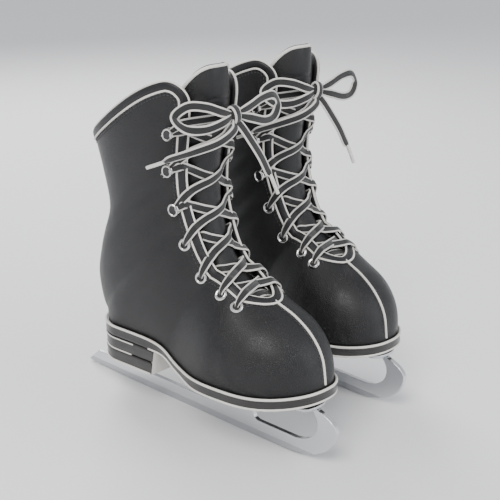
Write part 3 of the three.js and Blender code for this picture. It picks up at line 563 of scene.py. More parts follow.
def frames_along(path, faces, closed):
    """Directions along a path, across it and away from its face. Without faces they are carried along without
    twist."""
    along = np.roll(path, -1, 0) - np.roll(path, 1, 0)
    if not closed:
        along[0], along[-1] = path[1] - path[0], path[-1] - path[-2]
    along = unit(along)
    if faces is None:
        first = np.cross(along[0], [0.3, 0.5, 0.81])
        away = [first / np.linalg.norm(first)]
        for t in along[1:]:
            a = away[-1] - t * (away[-1] @ t)
            away.append(a / np.linalg.norm(a))
        faces = np.array(away)
    across = unit(np.cross(along, faces))
    return along, across, unit(np.cross(across, along))


def sweep(path, section, faces=None, closed=False, grow=None, round_ends=0.0):
    """Carries a closed section (across, away) along a path, as points and quads. grow scales it at each point as
    (across, away), and round_ends closes the ends with a quarter round of that length."""
    path = np.asarray(path, float)
    along, across, away = frames_along(path, faces, closed)
    grow = np.ones((len(path), 2)) if grow is None else np.broadcast_to(grow, (len(path), 2))
    if not closed:
        turns = np.array([0, 0.35, 0.7, 0.92])
        swell = np.sqrt(1 - (1 - turns) ** 2)
        tip = lambda end, way: path[end] + way * along[end] * round_ends * (1 - turns[:, None])
        path = np.concatenate([tip(0, -1), path, tip(-1, 1)[::-1]])
        across = np.concatenate([np.repeat(across[:1], 4, 0), across, np.repeat(across[-1:], 4, 0)])
        away = np.concatenate([np.repeat(away[:1], 4, 0), away, np.repeat(away[-1:], 4, 0)])
        grow = np.concatenate([swell[:, None] * grow[:1], grow, swell[::-1, None] * grow[-1:]])
    section = np.asarray(section, float)
    x = section[None, :, 0, None] * grow[:, None, :1]
    y = section[None, :, 1, None] * grow[:, None, 1:]
    points = path[:, None] + across[:, None] * x + away[:, None] * y
    return points.reshape(-1, 3), grid_quads(*points.shape[:2], wrap_rows=closed, wrap_columns=True)


def round_section(radius, sides):
    """A circle."""
    a = np.arange(sides) / sides * 2 * np.pi
    return np.stack([radius * np.cos(a), radius * np.sin(a)], -1)


for skate in SKATES:
    lines = np.stack([opening_ring(RING_POINTS, d, inset) for d, inset in FOLD], 1)
    rows, columns = lines.shape[:2]
    make(f"binding_band_{skate}", lines.reshape(-1, 3), grid_quads(rows, columns, True, True), skate,
         [band_leather], "edge_binding", [f"binding_{skate}"], angle=60)
    cords = [sweep(opening_ring(RING_POINTS, d, inset), round_section(r, 10), closed=True)
             for d, inset, r in EDGE_CORDS]
    make(f"binding_piping_{skate}", *together(*cords), skate, [piping_leather], "edge_binding")


# ---- Toe seam and backstay ----
# A cord of off-white piping is caught in the seam down the toe. A tapered strip of black leather, sewn along
# both edges, covers the back seam.
STAY_LOW, STAY_HIGH = 9.45, 13.25  # stations
STAY_HALF = (0.075, 0.1)  # half width at its foot and top, as shares of the way round
STAY_STANDS = 1.25  # how far it stands off the skin


def stay_half(s):
    """Half width of the backstay at a station, as a share of the way round the boot."""
    return mix(*STAY_HALF, (s - STAY_LOW) / (STAY_HIGH - STAY_LOW))


for skate in SKATES:
    s = np.linspace(0.12, 4.02, 120)
    points, quads = sweep(skin(s, 0.0, 1.0, -0.35), round_section(1.0, 12), round_ends=0.8)
    make(f"toe_piping_{skate}", points, quads, skate, [piping_leather], "edge_binding", [f"toe_seam_{skate}"])

    s = np.linspace(STAY_LOW, STAY_HIGH, 70)[:, None]
    off = np.linspace(-1, 1, 25)[None, :]
    lengthways = np.linspace(-1, 1, 70)[:, None]
    crown = (1 - np.abs(off) ** 7) ** 0.5 * (1 - np.abs(lengthways) ** 40) ** 0.5
    around = 1 - stay_half(s) * np.abs(off)
    side = np.where(off < 0, -1.0, 1.0)
    points, quads, _ = shell(skin(s, around, side, -0.1 - STAY_STANDS * crown), skin(s, around, side, 0.8))
    make(f"backstay_strip_{skate}", points, quads, skate, [band_leather], "boot_leather", [f"backstay_{skate}"],
         angle=60)
    s = np.linspace(STAY_LOW + 0.15, STAY_HIGH - 0.15, 200)
    around = 1 - stay_half(s) * 0.82
    rows = [stitches(skin(s, around, side, -1.3), skin_out(s, around, side)) for side in (1.0, -1.0)]
    add_stitches(f"backstay_stitches_{skate}", rows, skate, black_thread)


# ---- Tongue ----
# A padded leather tongue, 6 mm thick, lies 8 mm inside the skin and stands up past the collar. A cord of
# off-white piping is sewn round its edge, and sewn channels run across its face.
TONGUE_IN = 8.0
TONGUE_THICK = 6.0
TONGUE_HALF = 30
TONGUE_FOOT = THROAT + 0.9  # stations of its foot and of the top of its middle
TONGUE_TOP = COLLAR + 0.7
TONGUE_ROUND = 1.1  # how much lower its sides end
CHANNELS = 11
RIM_OFF = 0.965  # how far out across the tongue its piping runs


def tongue_spot(off, b, inset):
    """A point of the tongue: off runs from -1 to 1 across it and b from its foot to its top, which is lower at
    the sides by the power 2.5. It widens from its foot by a square root."""
    s = mix(TONGUE_FOOT, TONGUE_TOP - TONGUE_ROUND * np.abs(off) ** 2.5, b)
    half = TONGUE_HALF * mix(0.45, 1, np.sqrt(np.clip(b / 0.3, 0, 1)))
    around = around_at_half(s, np.broadcast_to(half, s.shape)) * np.abs(off)
    return skin(s, around, np.where(off < 0, -1.0, 1.0), inset)


def smooth_path(points, count):
    """A Catmull-Rom curve through a few points, as evenly numbered points."""
    p = np.asarray(points, float)
    at = np.linspace(0, len(p) - 1, count)
    return np.stack([through(list(p[:, k]), at) for k in range(3)], -1)


for skate in SKATES:
    off = np.sin(np.linspace(-np.pi / 2, np.pi / 2, 61))[None, :]
    b = np.linspace(0, 1, 120)[:, None]
    full = np.sqrt(np.clip(1 - np.abs(off) ** 6, 0, 1)) * np.sqrt(np.clip(1 - np.abs(2 * b - 1) ** 24, 0, 1))
    groove = np.exp(-((((b * CHANNELS) % 1) - 0.5) / 0.09) ** 2)
    channel = 0.5 * groove * smooth(0.2, 0.3, b) * (1 - smooth(0.86, 0.9, b))
    middle = TONGUE_IN + TONGUE_THICK / 2
    outer = tongue_spot(off, b, middle - TONGUE_THICK / 2 * full + channel * (1 - off**8))
    inner = tongue_spot(off, b, middle + TONGUE_THICK / 2 * full)
    points, quads, kinds = shell(outer, inner)
    pad = make(f"tongue_pad_{skate}", points, quads, skate, [boot_leather, lining_cloth], "boot_leather",
               [f"tongue_{skate}"], f"tongue_{skate}", kinds=np.where(kinds == 1, 1, 0), angle=70)
    turn = RIM_OFF * np.sin(np.linspace(-np.pi / 2, np.pi / 2, 90))
    rim_off = np.concatenate([np.full(60, turn[0]), turn, np.full(60, turn[-1])])
    rim_b = np.concatenate([np.linspace(0.3, 0.985, 60), np.full(90, 0.992), np.linspace(0.985, 0.3, 60)])
    rim = smooth_path(tongue_spot(rim_off, rim_b, np.full(210, TONGUE_IN + 1.1))[::6], 240)
    points, quads = sweep(rim, round_section(1.25, 10), round_ends=1.0)
    make(f"tongue_piping_{skate}", points, quads, skate, [piping_leather], "edge_binding",
         body=f"tongue_{skate}")


# ---- Insole ----
# A leather insock covered with the lining's cloth, laid loose on the outsole. Its own solid is right.
for skate in SKATES:
    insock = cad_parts[f"insole_{skate}"]
    insock.data.materials.clear()
    insock.data.materials.append(lining_cloth)


# ---- Outsole and heel ----
# A sole-leather outsole, 9 mm thick, carries two leather lifts under the heel. All edges are inked black and
# burnished. Off-white cords are laid along the welt, along the sole's lower edge and between the layers, and
# a thin off-white sheet on the heel's breast is a painted highlight.
OUTSOLE = 9
LIFT = 11
LIFTS = 2
HEEL_LENGTH = 74
BREAST_SLANT = 1.8  # how far the heel's front leans back over each lift
LIFT_TOP = HEEL_TOP - OUTSOLE  # ice to the top of the upper lift
HEEL_LOW = LIFT_TOP - LIFT * LIFTS - GAP
# Sections of the sole's and the lifts' edges: (inset, share of the way down).
SOLE_RINGS = [(7, 0), (2.2, 0.0), (0.6, 0.02), (0.1, 0.1), (0.0, 0.25), (0.35, 0.5), (0.0, 0.75), (0.1, 0.9),
              (0.6, 0.98), (2.2, 1), (7, 1)]
LIFT_RINGS = [(5, 0), (0.7, 0.01), (0.15, 0.06), (0.0, 0.15), (0.25, 0.5), (0.0, 0.85), (0.15, 0.94),
              (0.7, 0.99), (5, 1)]


def sole_finish():
    """Inked and burnished sole leather: fine level lines of its layers on the edges, and soft scuffs."""
    material, tree, shader, add = finish_of("inked_sole_leather", (0.012, 0.01, 0.01), 0.35, Coat_Weight=0.3,
                                            Coat_Roughness=0.2)
    place_of = add("ShaderNodeTexCoord").outputs["Object"]
    level = add("ShaderNodeMapping", Vector=place_of, Scale=(30.0, 30.0, 1400.0))
    layers = add("ShaderNodeTexNoise", Vector=level.outputs[0], Scale=1.0, Detail=3.0)
    scuffs = add("ShaderNodeTexNoise", Vector=place_of, Scale=90.0, Detail=5.0, Roughness=0.65)
    bump = add("ShaderNodeBump", Height=layers.outputs["Fac"], Strength=0.35, Distance=0.0002)
    tree.links.new(bump.outputs[0], shader.inputs["Normal"])
    tone(tree, add, shader, layers.outputs["Fac"], (0.006, 0.005, 0.005), (0.02, 0.017, 0.015))
    tone(tree, add, shader, scuffs.outputs["Fac"], 0.28, 0.52, "Roughness")
    return material


def outline(length_to, inset):
    """Round the sole's edge from a front on the inner side, past the heel, to that front on the outer side:
    distances along the foot and signed half widths. A cosine crowds the points where it is round."""
    turn = np.linspace(0, np.pi, 150)
    full = length_to >= SOLE_LENGTH - 0.01
    share = (1 - np.cos(turn)) / 2 if full else 1 - np.cos(turn / 2)
    u = mix(inset, length_to - (inset if full else 0), share)
    outer, inner = sole_half(u, 1, inset), sole_half(u, -1, inset)
    return np.concatenate([u[::-1], u[1:]]), np.concatenate([-inner[::-1], outer[1:]])


def edge_points(u, half, height):
    """Points of the skate's frame on the sole's outline at a height."""
    return np.stack(np.broadcast_arrays(swing(u) + half, -u, height), -1)


def sole_layer(length_to, top, bottom, rings, draw=0.0, slant=0.0):
    """A layer of the bottom from rings of (inset, share of the way down), closed on to the middle above and
    below. draw pulls its lower edge in, and slant its lower front back."""
    lines = []
    for inset, down in rings:
        u, half = outline(length_to - slant * down, inset + draw * down)
        lines.append(edge_points(u, half, mix(top(u), bottom(u), down)))
    first, last = lines[0].copy(), lines[-1].copy()
    first[:, 0], last[:, 0] = swing(-first[:, 1]), swing(-last[:, 1])
    grid = np.stack([first, *lines, last])
    return grid.reshape(-1, 3), grid_quads(*grid.shape[:2], wrap_columns=True)


def waist(u):
    """1 under the arch and 0 elsewhere."""
    return smooth(0.3, 0.42, u / SOLE_LENGTH) * (1 - smooth(0.5, 0.62, u / SOLE_LENGTH))


def sole_low(u):
    """Height of the outsole's underside, which is thinner at the waist."""
    return feather_height(u) - OUTSOLE * (1 - 0.25 * waist(u))


def edge_cord(length_from, length_to, inset, height, radius):
    """A round cord laid along the outline between two distances along the foot: round the heel or the toe where
    they reach it, or along each side by itself."""
    u, half = outline(length_to, inset)
    path = edge_points(u, half, height(u))
    section = round_section(radius, 8)
    kept = u >= length_from
    whole = length_to >= SOLE_LENGTH
    if kept.all():
        return sweep(path[:-1] if whole else path, section, closed=whole)
    middle = len(u) // 2
    runs = [path[:middle][kept[:middle]], path[middle:][kept[middle:]]]
    if whole:
        return sweep(np.concatenate([runs[1], runs[0][1:]]), section, round_ends=radius)
    return together(*[sweep(run, section, round_ends=radius) for run in runs])


def heel_layer(number):
    """One lift: its top follows the outsole or is level, and its lower edge is drawn in."""
    level = LIFT_TOP - LIFT * number - GAP
    top = lambda u: np.minimum(level, feather_height(u) - OUTSOLE - GAP)
    bottom = lambda u: level - LIFT + GAP
    return sole_layer(HEEL_LENGTH - BREAST_SLANT * number, top, bottom, LIFT_RINGS, 0.6, BREAST_SLANT)


def breast_painted_highlight():
    """A painted highlight on the heel's front: a thin off-white sheet that slants with the lifts, its sides
    rounded over by a superellipse."""
    z = np.linspace(HEEL_LOW + 0.6, LIFT_TOP - 1.2, 12)[:, None]
    across = np.linspace(-1, 1, 25)[None, :]
    front = HEEL_LENGTH - BREAST_SLANT * (LIFT_TOP - z) / LIFT + 0.1
    rise = (1 - np.abs(across) ** 12) ** 0.5
    width = sole_half(HEEL_LENGTH - 2.0, 1, 1.0) * across
    outer = np.stack(np.broadcast_arrays(width, -(front + 1.1 * rise), z), -1)
    inner = np.stack(np.broadcast_arrays(width, -(front - 1.0), z), -1)
    return shell(outer, inner)[:2]


sole_leather = sole_finish()
for skate in SKATES:
    points, quads = sole_layer(SOLE_LENGTH, feather_height, sole_low, SOLE_RINGS)
    make(f"sole_slab_{skate}", points, quads, skate, [sole_leather], "sole_leather", [f"outsole_{skate}"],
         angle=50)
    welt = edge_cord(0, SOLE_LENGTH, 0.3, lambda u: feather_height(u) - 0.5, 1.0)
    low_edge = edge_cord(HEEL_LENGTH - 7, SOLE_LENGTH, 0.4, lambda u: sole_low(u) + 0.7, 0.9)
    make(f"welt_cords_{skate}", *together(welt, low_edge), skate, [piping_leather], "sole_leather")
    for number in range(LIFTS):
        make(f"heel_layer_{number + 1}_{skate}", *heel_layer(number), skate, [sole_leather], "sole_leather",
             [f"heel_lift_{number + 1}_{skate}"], angle=50)
    stack = [edge_cord(13, 51 - 3 * number, 0.3 + 0.5 * number,
                       lambda u, n=number: LIFT_TOP - 1.5 - 9.5 * n, 0.62) for number in range(LIFTS)]
    heel_edge = edge_cord(0, HEEL_LENGTH - LIFTS * BREAST_SLANT - 0.5, 0.55, lambda u: HEEL_LOW + 0.95, 0.9)
    make(f"heel_cords_{skate}", *together(*stack, heel_edge), skate, [piping_leather], "sole_leather")
    # The thin off-white sheet on the heel's breast is a painted highlight.
    make(f"breast_painted_highlight_{skate}", *breast_painted_highlight(), skate, [piping_leather], "sole_leather", angle=50)


# ---- Blade, plates and screws ----
# One steel plate is cut to the blade and its three posts, ground along the ice, and brazed to two mounting
# plates that are screwed up into the heel and the sole.
BLADE_THICK = 4
BLADE_TOP = 13.5
PROW = 14  # the blade passes the toe by this much
PLATE = 2.5
HEEL_PLATE_LOW = 31.5 - GAP - PLATE
SOLE_PLATE_LOW = 46 - GAP - PLATE
HEEL_PLATE = (2, 55)  # where the plates begin and end, from the heel
SOLE_PLATE = (122, SOLE_LENGTH - 4)
HEEL_POST_TOP = HEEL_PLATE_LOW - GAP
SOLE_POST_TOP = SOLE_PLATE_LOW - GAP
FRONT = SOLE_LENGTH + PROW
# Each plate's screws, as (across, along the foot), and the height they are driven from.
SCREWS = {"heel": ([(12, 42), (-12, 42)], HEEL_PLATE_LOW), "sole": ([(14, 134), (-15, 134)], SOLE_PLATE_LOW)}
SCREW_PROFILE = [(0, 8.5), (1.2, 8), (1.9, 6.6), (1.9, 0.2), (3.6, 0), (3.65, -0.35), (3.3, -1.0), (2.6, -1.5),
                 (1.5, -1.85), (1.45, -1.2), (0, -1.2)]


def bend(*corners, count=14):
    """A Bezier curve in the plane, without its first point: a parabola from three corners, a cubic from four."""
    t = np.linspace(0, 1, count)[1:, None]
    p = [np.array(c, float) for c in corners]
    while len(p) > 1:
        p = [a * (1 - t) + b * t for a, b in zip(p, p[1:])]
    return [tuple(q) for q in p[0]]


BLADE_OUTLINE = [
    (-TAIL, 2.2), (-6, 0.5), (44, 0), (154, 0), (190, 0.6),
    *bend((190, 0.6), (212, 1.5), (FRONT - 3, 10), (FRONT - 0.4, 28)),
    *bend((FRONT - 0.4, 28), (FRONT + 0.3, 35), (FRONT - 6, SOLE_POST_TOP - 4),
          (SOLE_PLATE[1] - 1, SOLE_POST_TOP)),
    (SOLE_PLATE[1] - 8, SOLE_POST_TOP),
    *bend((SOLE_PLATE[1] - 8, SOLE_POST_TOP), (FRONT - 13, 36), (FRONT - 14, BLADE_TOP + 3),
          (FRONT - 38, BLADE_TOP)),
    (161, BLADE_TOP), *bend((161, BLADE_TOP), (157, BLADE_TOP), (156, BLADE_TOP + 4), count=6),
    (152, SOLE_POST_TOP), (SOLE_PLATE[0] + 4, SOLE_POST_TOP),
    *bend((SOLE_PLATE[0] + 4, SOLE_POST_TOP), (121, 34), (117, BLADE_TOP + 3), (107, BLADE_TOP)),
    (27, BLADE_TOP), *bend((27, BLADE_TOP), (23, BLADE_TOP), (23, BLADE_TOP + 4), count=6),
    (26, HEEL_POST_TOP), (HEEL_PLATE[0] + 1, HEEL_POST_TOP), (-5, BLADE_TOP + 3),
    *bend((-5, BLADE_TOP + 3), (-6, BLADE_TOP), (-10, BLADE_TOP), count=6), (-TAIL + 13, BLADE_TOP),
]


def cut_plate(name, outline_points, thick, skate, material, node, flat_height=None, bevel=0.5):
    """A flat plate with its edges rounded over: standing in the plane of the blade, or lying at a height."""
    a = np.array(outline_points, float)
    zero = np.zeros(len(a))
    if flat_height is None:
        first = np.stack([zero - thick / 2, -a[:, 0], a[:, 1]], -1)
        second = first + [thick, 0, 0]
    else:
        first = np.stack([a[:, 1], -a[:, 0], zero + flat_height], -1)
        second = first + [0, 0, thick]
    n = len(a)
    mesh = bpy.data.meshes.new(name)
    walls = [(i, (i + 1) % n, (i + 1) % n + n, i + n) for i in range(n)]
    mesh.from_pydata(place(np.concatenate([first, second]), skate).tolist(), [],
                     [tuple(range(n)), tuple(range(2 * n - 1, n - 1, -1)), *walls])
    work = bmesh.new()
    work.from_mesh(mesh)
    bmesh.ops.recalc_face_normals(work, faces=work.faces)
    if work.calc_volume(signed=True) < 0:
        bmesh.ops.reverse_faces(work, faces=work.faces)
    work.to_mesh(mesh)
    work.free()
    piece = bpy.data.objects.new(name, mesh)
    bpy.context.scene.collection.objects.link(piece)
    mesh.materials.append(material)
    rounded = piece.modifiers.new("edge", "BEVEL")
    rounded.width, rounded.segments, rounded.limit_method = bevel / 1000, 2, "ANGLE"
    rounded.angle_limit, rounded.harden_normals = math.radians(50), True
    mesh.shade_smooth()
    mesh.set_sharp_from_angle(angle=math.radians(30))
    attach(piece, "skates")
    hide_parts(node)


def plate_outline(ends, rear, front):
    """A plate's plan: round corners joined by straight sides, as (along the foot, across it)."""
    r = min(12, front - 2)
    a, b = ends
    half = [(a, rear - r), *bend((a, rear - r), (a, rear), (a + r, rear), count=8),
            *bend((b - r, front), (b, front), (b, front - r), count=8)]
    return half + [(u, -x) for u, x in half[::-1]]


def blade_finish():
    """Bright polished steel above, and a duller ground band along the ice with fine upright grinding marks."""
    material, tree, shader, add = finish_of("blade_steel_bright", (0.66, 0.67, 0.69), 0.2, 1.0)
    place_of = add("ShaderNodeTexCoord").outputs["Object"]
    where = add("ShaderNodeSeparateXYZ", Vector=place_of)
    low = add("ShaderNodeMapRange", Value=where.outputs["Z"], From_Min=0.0062, From_Max=0.0056)
    drawn = add("ShaderNodeMapping", Vector=place_of, Scale=(1800.0, 1800.0, 40.0))
    marks = add("ShaderNodeTexNoise", Vector=drawn.outputs[0], Scale=1.0, Detail=3.0)
    smears = add("ShaderNodeTexNoise", Vector=place_of, Scale=45.0, Detail=4.0)
    deep = add("ShaderNodeMapRange", Value=low.outputs[0], To_Min=0.00001, To_Max=0.00008)
    bump = add("ShaderNodeBump", Height=marks.outputs["Fac"], Strength=0.4, Distance=deep.outputs[0])
    tree.links.new(bump.outputs[0], shader.inputs["Normal"])
    polish = add("ShaderNodeMapRange", Value=smears.outputs["Fac"], To_Min=0.1, To_Max=0.24)
    rough = add("ShaderNodeMix", i0=low.outputs[0], i2=polish.outputs[0], i3=0.42)
    tree.links.new(rough.outputs[0], shader.inputs["Roughness"])
    tone(tree, add, shader, low.outputs[0], (0.68, 0.69, 0.71), (0.5, 0.51, 0.53), at=(0, 1))
    return material


def metal_finish(name, color, rough, stretch=(60.0, 60.0, 900.0)):
    """Polished metal with fine drawn lines, and smears that change its gloss a little."""
    material, tree, shader, add = finish_of(name, color, rough, 1.0)
    place_of = add("ShaderNodeTexCoord").outputs["Object"]
    drawn = add("ShaderNodeMapping", Vector=place_of, Scale=stretch)
    lines = add("ShaderNodeTexNoise", Vector=drawn.outputs[0], Scale=3.0, Detail=5.0)
    smears = add("ShaderNodeTexNoise", Vector=place_of, Scale=70.0, Detail=3.0)
    bump = add("ShaderNodeBump", Height=lines.outputs["Fac"], Strength=0.25, Distance=0.00003)
    tree.links.new(bump.outputs[0], shader.inputs["Normal"])
    tone(tree, add, shader, smears.outputs["Fac"], rough * 0.8, rough * 1.35, "Roughness")
    tone(tree, add, shader, lines.outputs["Fac"], tuple(0.93 * c for c in color), color)
    return material


def lathe(profile, sides):
    """Turns a profile of (radius, height) round the third axis. The profile starts and ends on the axis, or
    ends where it starts."""
    profile = np.asarray(profile, float)
    a = np.arange(sides) / sides * 2 * np.pi
    ring = np.stack([np.cos(a), np.sin(a)], -1)
    flat = profile[:, None, :1] * ring[None]
    high = np.broadcast_to(profile[:, None, 1:], (len(profile), sides, 1))
    points = np.concatenate([flat, high], -1)
    return points.reshape(-1, 3), grid_quads(len(profile), sides, wrap_columns=True)


blade_steel = blade_finish()
plate_steel = metal_finish("plate_steel_satin", (0.62, 0.63, 0.65), 0.28)
for skate in SKATES:
    cut_plate(f"runner_{skate}", BLADE_OUTLINE, BLADE_THICK, skate, blade_steel,
              f"blade_{skate}")
    cut_plate(f"heel_mount_{skate}", plate_outline(HEEL_PLATE, 20, 23), PLATE, skate, plate_steel,
              f"heel_plate_{skate}", HEEL_PLATE_LOW, 0.6)
    cut_plate(f"sole_mount_{skate}", plate_outline(SOLE_PLATE, 25, 14), PLATE, skate, plate_steel,
              f"sole_plate_{skate}", SOLE_PLATE_LOW, 0.6)
    for part, (spots, level) in SCREWS.items():
        for number, (x, u) in enumerate(spots, 1):
            points, quads = lathe(SCREW_PROFILE, 24)
            make(f"{part}_mount_screw_{number}_{skate}", points + [x, -u, level - GAP], quads, skate,
                 [plate_steel], "plate_steel", [f"{part}_screw_{number}_{skate}"], angle=35)


# ---- Eyelets and hooks ----
# Nickel-plated brass. Four eyelets a side are clenched through the leather over a stay; three speed hooks a
# side have a riveted foot, a neck on the side of the gap and an oval head, dished and filled with black enamel.
EYELET_ROWS = [4.9, 5.6, 6.5, 7.6]  # stations
HOOK_ROWS = [9, 10.5, 12]
FITTING_ROWS = EYELET_ROWS + HOOK_ROWS
FITTING_IN = 10.8  # distance of a fitting from the gap's edge
STAY_REACH = 4.4  # half width of the stay under the eyelets
EYELET_PROFILE = [(2.45, -5.6), (3.7, -5.8), (4.1, -5.2), (3.2, -4.9), (3.1, 0.1), (4.7, 0.15), (4.75, 0.6),
                  (4.3, 1.15), (3.6, 1.4), (2.9, 1.15), (2.5, 0.5), (2.45, -5.6)]
FOOT_PROFILE = [(0, 0), (4.1, 0), (4.2, 0.35), (3.9, 0.8), (2.0, 1.15), (0, 1.2)]
HEAD_PROFILE = [(0, 4.2), (3.4, 4.25), (4.3, 4.6), (4.5, 5.1), (4.3, 5.7), (3.8, 5.95), (3.2, 5.75),
                (2.9, 5.45), (1.5, 5.25), (0, 5.2)]
HOOK_SIDES = 28


def edge_at(s):
    """How far along the opening's edge a station of the gap's straight side is."""
    foot = THROAT + THROAT_RISE
    return mix(THROAT_END, SIDE_END, (s - foot) / (CORNER - foot))


def fitting(row, side):
    """The place of a fitting on the skin, with the directions away from the gap, along it and outwards."""
    p = np.array([edge_at(FITTING_ROWS[row])])
    at = near_edge(p, side, FITTING_IN)[0]
    away = unit(near_edge(p, side, FITTING_IN + 0.5)[0] - at)
    along = unit(near_edge(p + 0.004, side, FITTING_IN)[0] - at)
    out = unit(np.cross(away, along) * side)
    return at, away, np.cross(out, away), out


def seated(points, row, side):
    """Points given as (away, along, outwards) from a fitting's own place."""
    at, away, along, out = fitting(row, side)
    return at + points[..., :1] * away + points[..., 1:2] * along + points[..., 2:] * out


def flat_section(width, thick, sides, power):
    """A flat rounded section: a superellipse."""
    a = np.arange(sides) / sides * 2 * np.pi
    c, s = np.cos(a), np.sin(a)
    return np.stack([width / 2 * np.sign(c) * np.abs(c) ** (2 / power),
                     thick / 2 * np.sign(s) * np.abs(s) ** (2 / power)], -1)


def speed_hook(row, side):
    """A hook: a domed round foot, a bent neck swept along a sine arc, and an oval head whose dish, between two
    rings of its profile, is enamelled."""
    foot, head = lathe(FOOT_PROFILE, HOOK_SIDES), lathe(HEAD_PROFILE, HOOK_SIDES)
    oval = head[0] * [0.86, 1.1, 1.0] + [0.4, 0, 0]
    t = np.linspace(0, 1, 14)
    arc = np.stack([-1.4 - 1.5 * np.sin(np.pi * t), 0 * t, mix(0.7, 4.9, t)], -1)
    neck = sweep(arc, flat_section(4.6, 1.5, 14, 3.0), faces=np.tile([-1.0, 0, 0], (14, 1)), round_ends=0.3)
    points, quads = together(foot, (oval, head[1]), neck)
    kinds = np.zeros(len(quads), int)
    dish = len(foot[1]) + 6 * HOOK_SIDES
    kinds[dish:dish + 3 * HOOK_SIDES] = 1
    return seated(points, row, side), quads, kinds


nickel = metal_finish("nickel_plate", (0.74, 0.73, 0.71), 0.17, (300.0, 300.0, 300.0))
black_enamel = leather_finish("black_enamel", (0.01, 0.01, 0.011), (0.018, 0.018, 0.02), 2500.0, 0.00002,
                              (0.18, 0.3), 0.4)
for skate in SKATES:
    for label, side in SIDES.items():
        rings = []
        for row in range(len(EYELET_ROWS)):
            points, quads = lathe(EYELET_PROFILE, 32)
            rings.append((seated(points, row, side), quads))
        p = np.linspace(edge_at(EYELET_ROWS[0]) - 0.022, edge_at(EYELET_ROWS[-1]) + 0.022, 60)[:, None]
        off = FITTING_IN + STAY_REACH * np.linspace(-1, 1, 9)[None, :]
        stay = shell(near_edge(p, side, off, 5.0), near_edge(p, side, off, 6.0))[:2]
        make(f"eyelet_row_{label}_{skate}", *together(*rings, stay), skate, [nickel], "nickel_fittings",
             [f"eyelets_{label}_{skate}"], angle=35)
        for number in range(len(HOOK_ROWS)):
            points, quads, kinds = speed_hook(len(EYELET_ROWS) + number, side)
            make(f"speed_hook_{label}_{number + 1}_{skate}", points, quads, skate, [nickel, black_enamel],
                 "nickel_fittings", [f"hook_{label}_{number + 1}_{skate}"], kinds=kinds, angle=35)


# ---- Laces ----
# One flat braided lace a skate, 7 mm wide, black with off-white selvedges. It comes up through each eyelet,
# crosses over the tongue and passes under the far edge to the next one, then goes round the hooks to a bow.
LACE_WIDTH = 7
LACE_THICK = 1.3
# How a lace leaves and reaches a fitting: (distance in from the gap's edge, height off the skin, width share).
FROM_EYELET = [(10.8, -3.0, 0.34), (10.5, 0.8, 0.42), (8.6, 2.4, 0.6), (5.4, 3.0, 0.85), (0.6, 2.9, 1.0)]
FROM_HOOK = [(14.8, 2.6, 0.5), (11.2, 2.8, 0.62), (5.6, 3.1, 0.88), (0.6, 2.9, 1.0)]
TO_EYELET = [(-3.6, -3.4, 1.0), (0.8, -6.2, 1.0), (6.5, -6.6, 0.85), (10.8, -6.2, 0.45)]
TO_HOOK = [(0.6, 2.9, 1.0), (5.6, 3.1, 0.88), (11.2, 2.6, 0.62), (14.8, 2.4, 0.5)]
# The last stretch from the top hook: (distance in, height off the skin, rise in stations).
TO_KNOT = [(14.8, 2.6, 0.0), (11.2, 2.9, 0.02), (5.0, 3.4, 0.08), (0.5, 3.2, 0.12)]
SHARES_ACROSS = (0.15, 0.3, 0.4, 0.5, 0.6, 0.7, 0.85)
LACE_OFF_PAD = 2.3  # middle of the lace off the tongue's face
FACE = np.array([0.0, -1.0, 0.0])  # the bow faces forward
KNOT_AT = skin(12.35, 0.0, 1.0) + 9 * FACE  # on the tongue between the top hooks
LACE_SECTION = flat_section(LACE_WIDTH, LACE_THICK, 20, 3.2)


def lace_finish(name, black, white):
    """A flat braided lace: a chevron weave, black down the middle with off-white selvedges. Across the lace the
    pattern runs from -1 to 1, and along it in millimetres."""
    material, tree, shader, add = finish_of(name, black, 0.82, Sheen_Weight=0.25, Sheen_Roughness=0.5)
    where = add("ShaderNodeSeparateXYZ", Vector=add("ShaderNodeTexCoord").outputs["UV"])
    across = add("ShaderNodeMath", {"operation": "ABSOLUTE"}, i0=where.outputs["X"])
    slant = add("ShaderNodeMath", {"operation": "MULTIPLY_ADD"}, i0=across.outputs[0], i1=3.4,
                i2=where.outputs["Y"])
    turn = add("ShaderNodeMath", {"operation": "MULTIPLY"}, i0=slant.outputs[0], i1=5.6)
    ribs = add("ShaderNodeMath", {"operation": "SINE"}, i0=turn.outputs[0])
    warp = add("ShaderNodeMath", {"operation": "MULTIPLY"}, i0=across.outputs[0], i1=34.0)
    ends = add("ShaderNodeMath", {"operation": "SINE"}, i0=warp.outputs[0])
    weave = add("ShaderNodeMath", {"operation": "MULTIPLY_ADD"}, i0=ends.outputs[0], i1=0.5,
                i2=ribs.outputs[0])
    bump = add("ShaderNodeBump", Height=weave.outputs[0], Strength=0.6, Distance=0.00018)
    tree.links.new(bump.outputs[0], shader.inputs["Normal"])
    shade = add("ShaderNodeMapRange", Value=weave.outputs[0], From_Min=-1.5, From_Max=1.5, To_Min=0.72,
                To_Max=1.0)
    edge = add("ShaderNodeMapRange", Value=across.outputs[0], From_Min=0.6, From_Max=0.66)
    yarn = add("ShaderNodeMix", {"data_type": "RGBA"}, i0=edge.outputs[0], i6=(*black, 1), i7=(*white, 1))
    final = add("ShaderNodeVectorMath", {"operation": "SCALE"}, i0=yarn.outputs[2], Scale=shade.outputs[0])
    tree.links.new(final.outputs[0], shader.inputs["Base Color"])
    return material


def lace_uv(path, first):
    """Each point's place on the braid: -1 to 1 across the lace, and the distance along it from a first one. The
    four rows that round off an end keep that end's distance."""
    run = np.concatenate([[0], np.cumsum(np.linalg.norm(np.diff(path, axis=0), axis=1))])
    run = np.concatenate([np.full(4, run[0]), run, np.full(4, run[-1])]) + first
    across = np.tile(LACE_SECTION[:, 0] / (LACE_WIDTH / 2), len(run))
    return np.stack([across, np.repeat(run, len(LACE_SECTION))], -1)


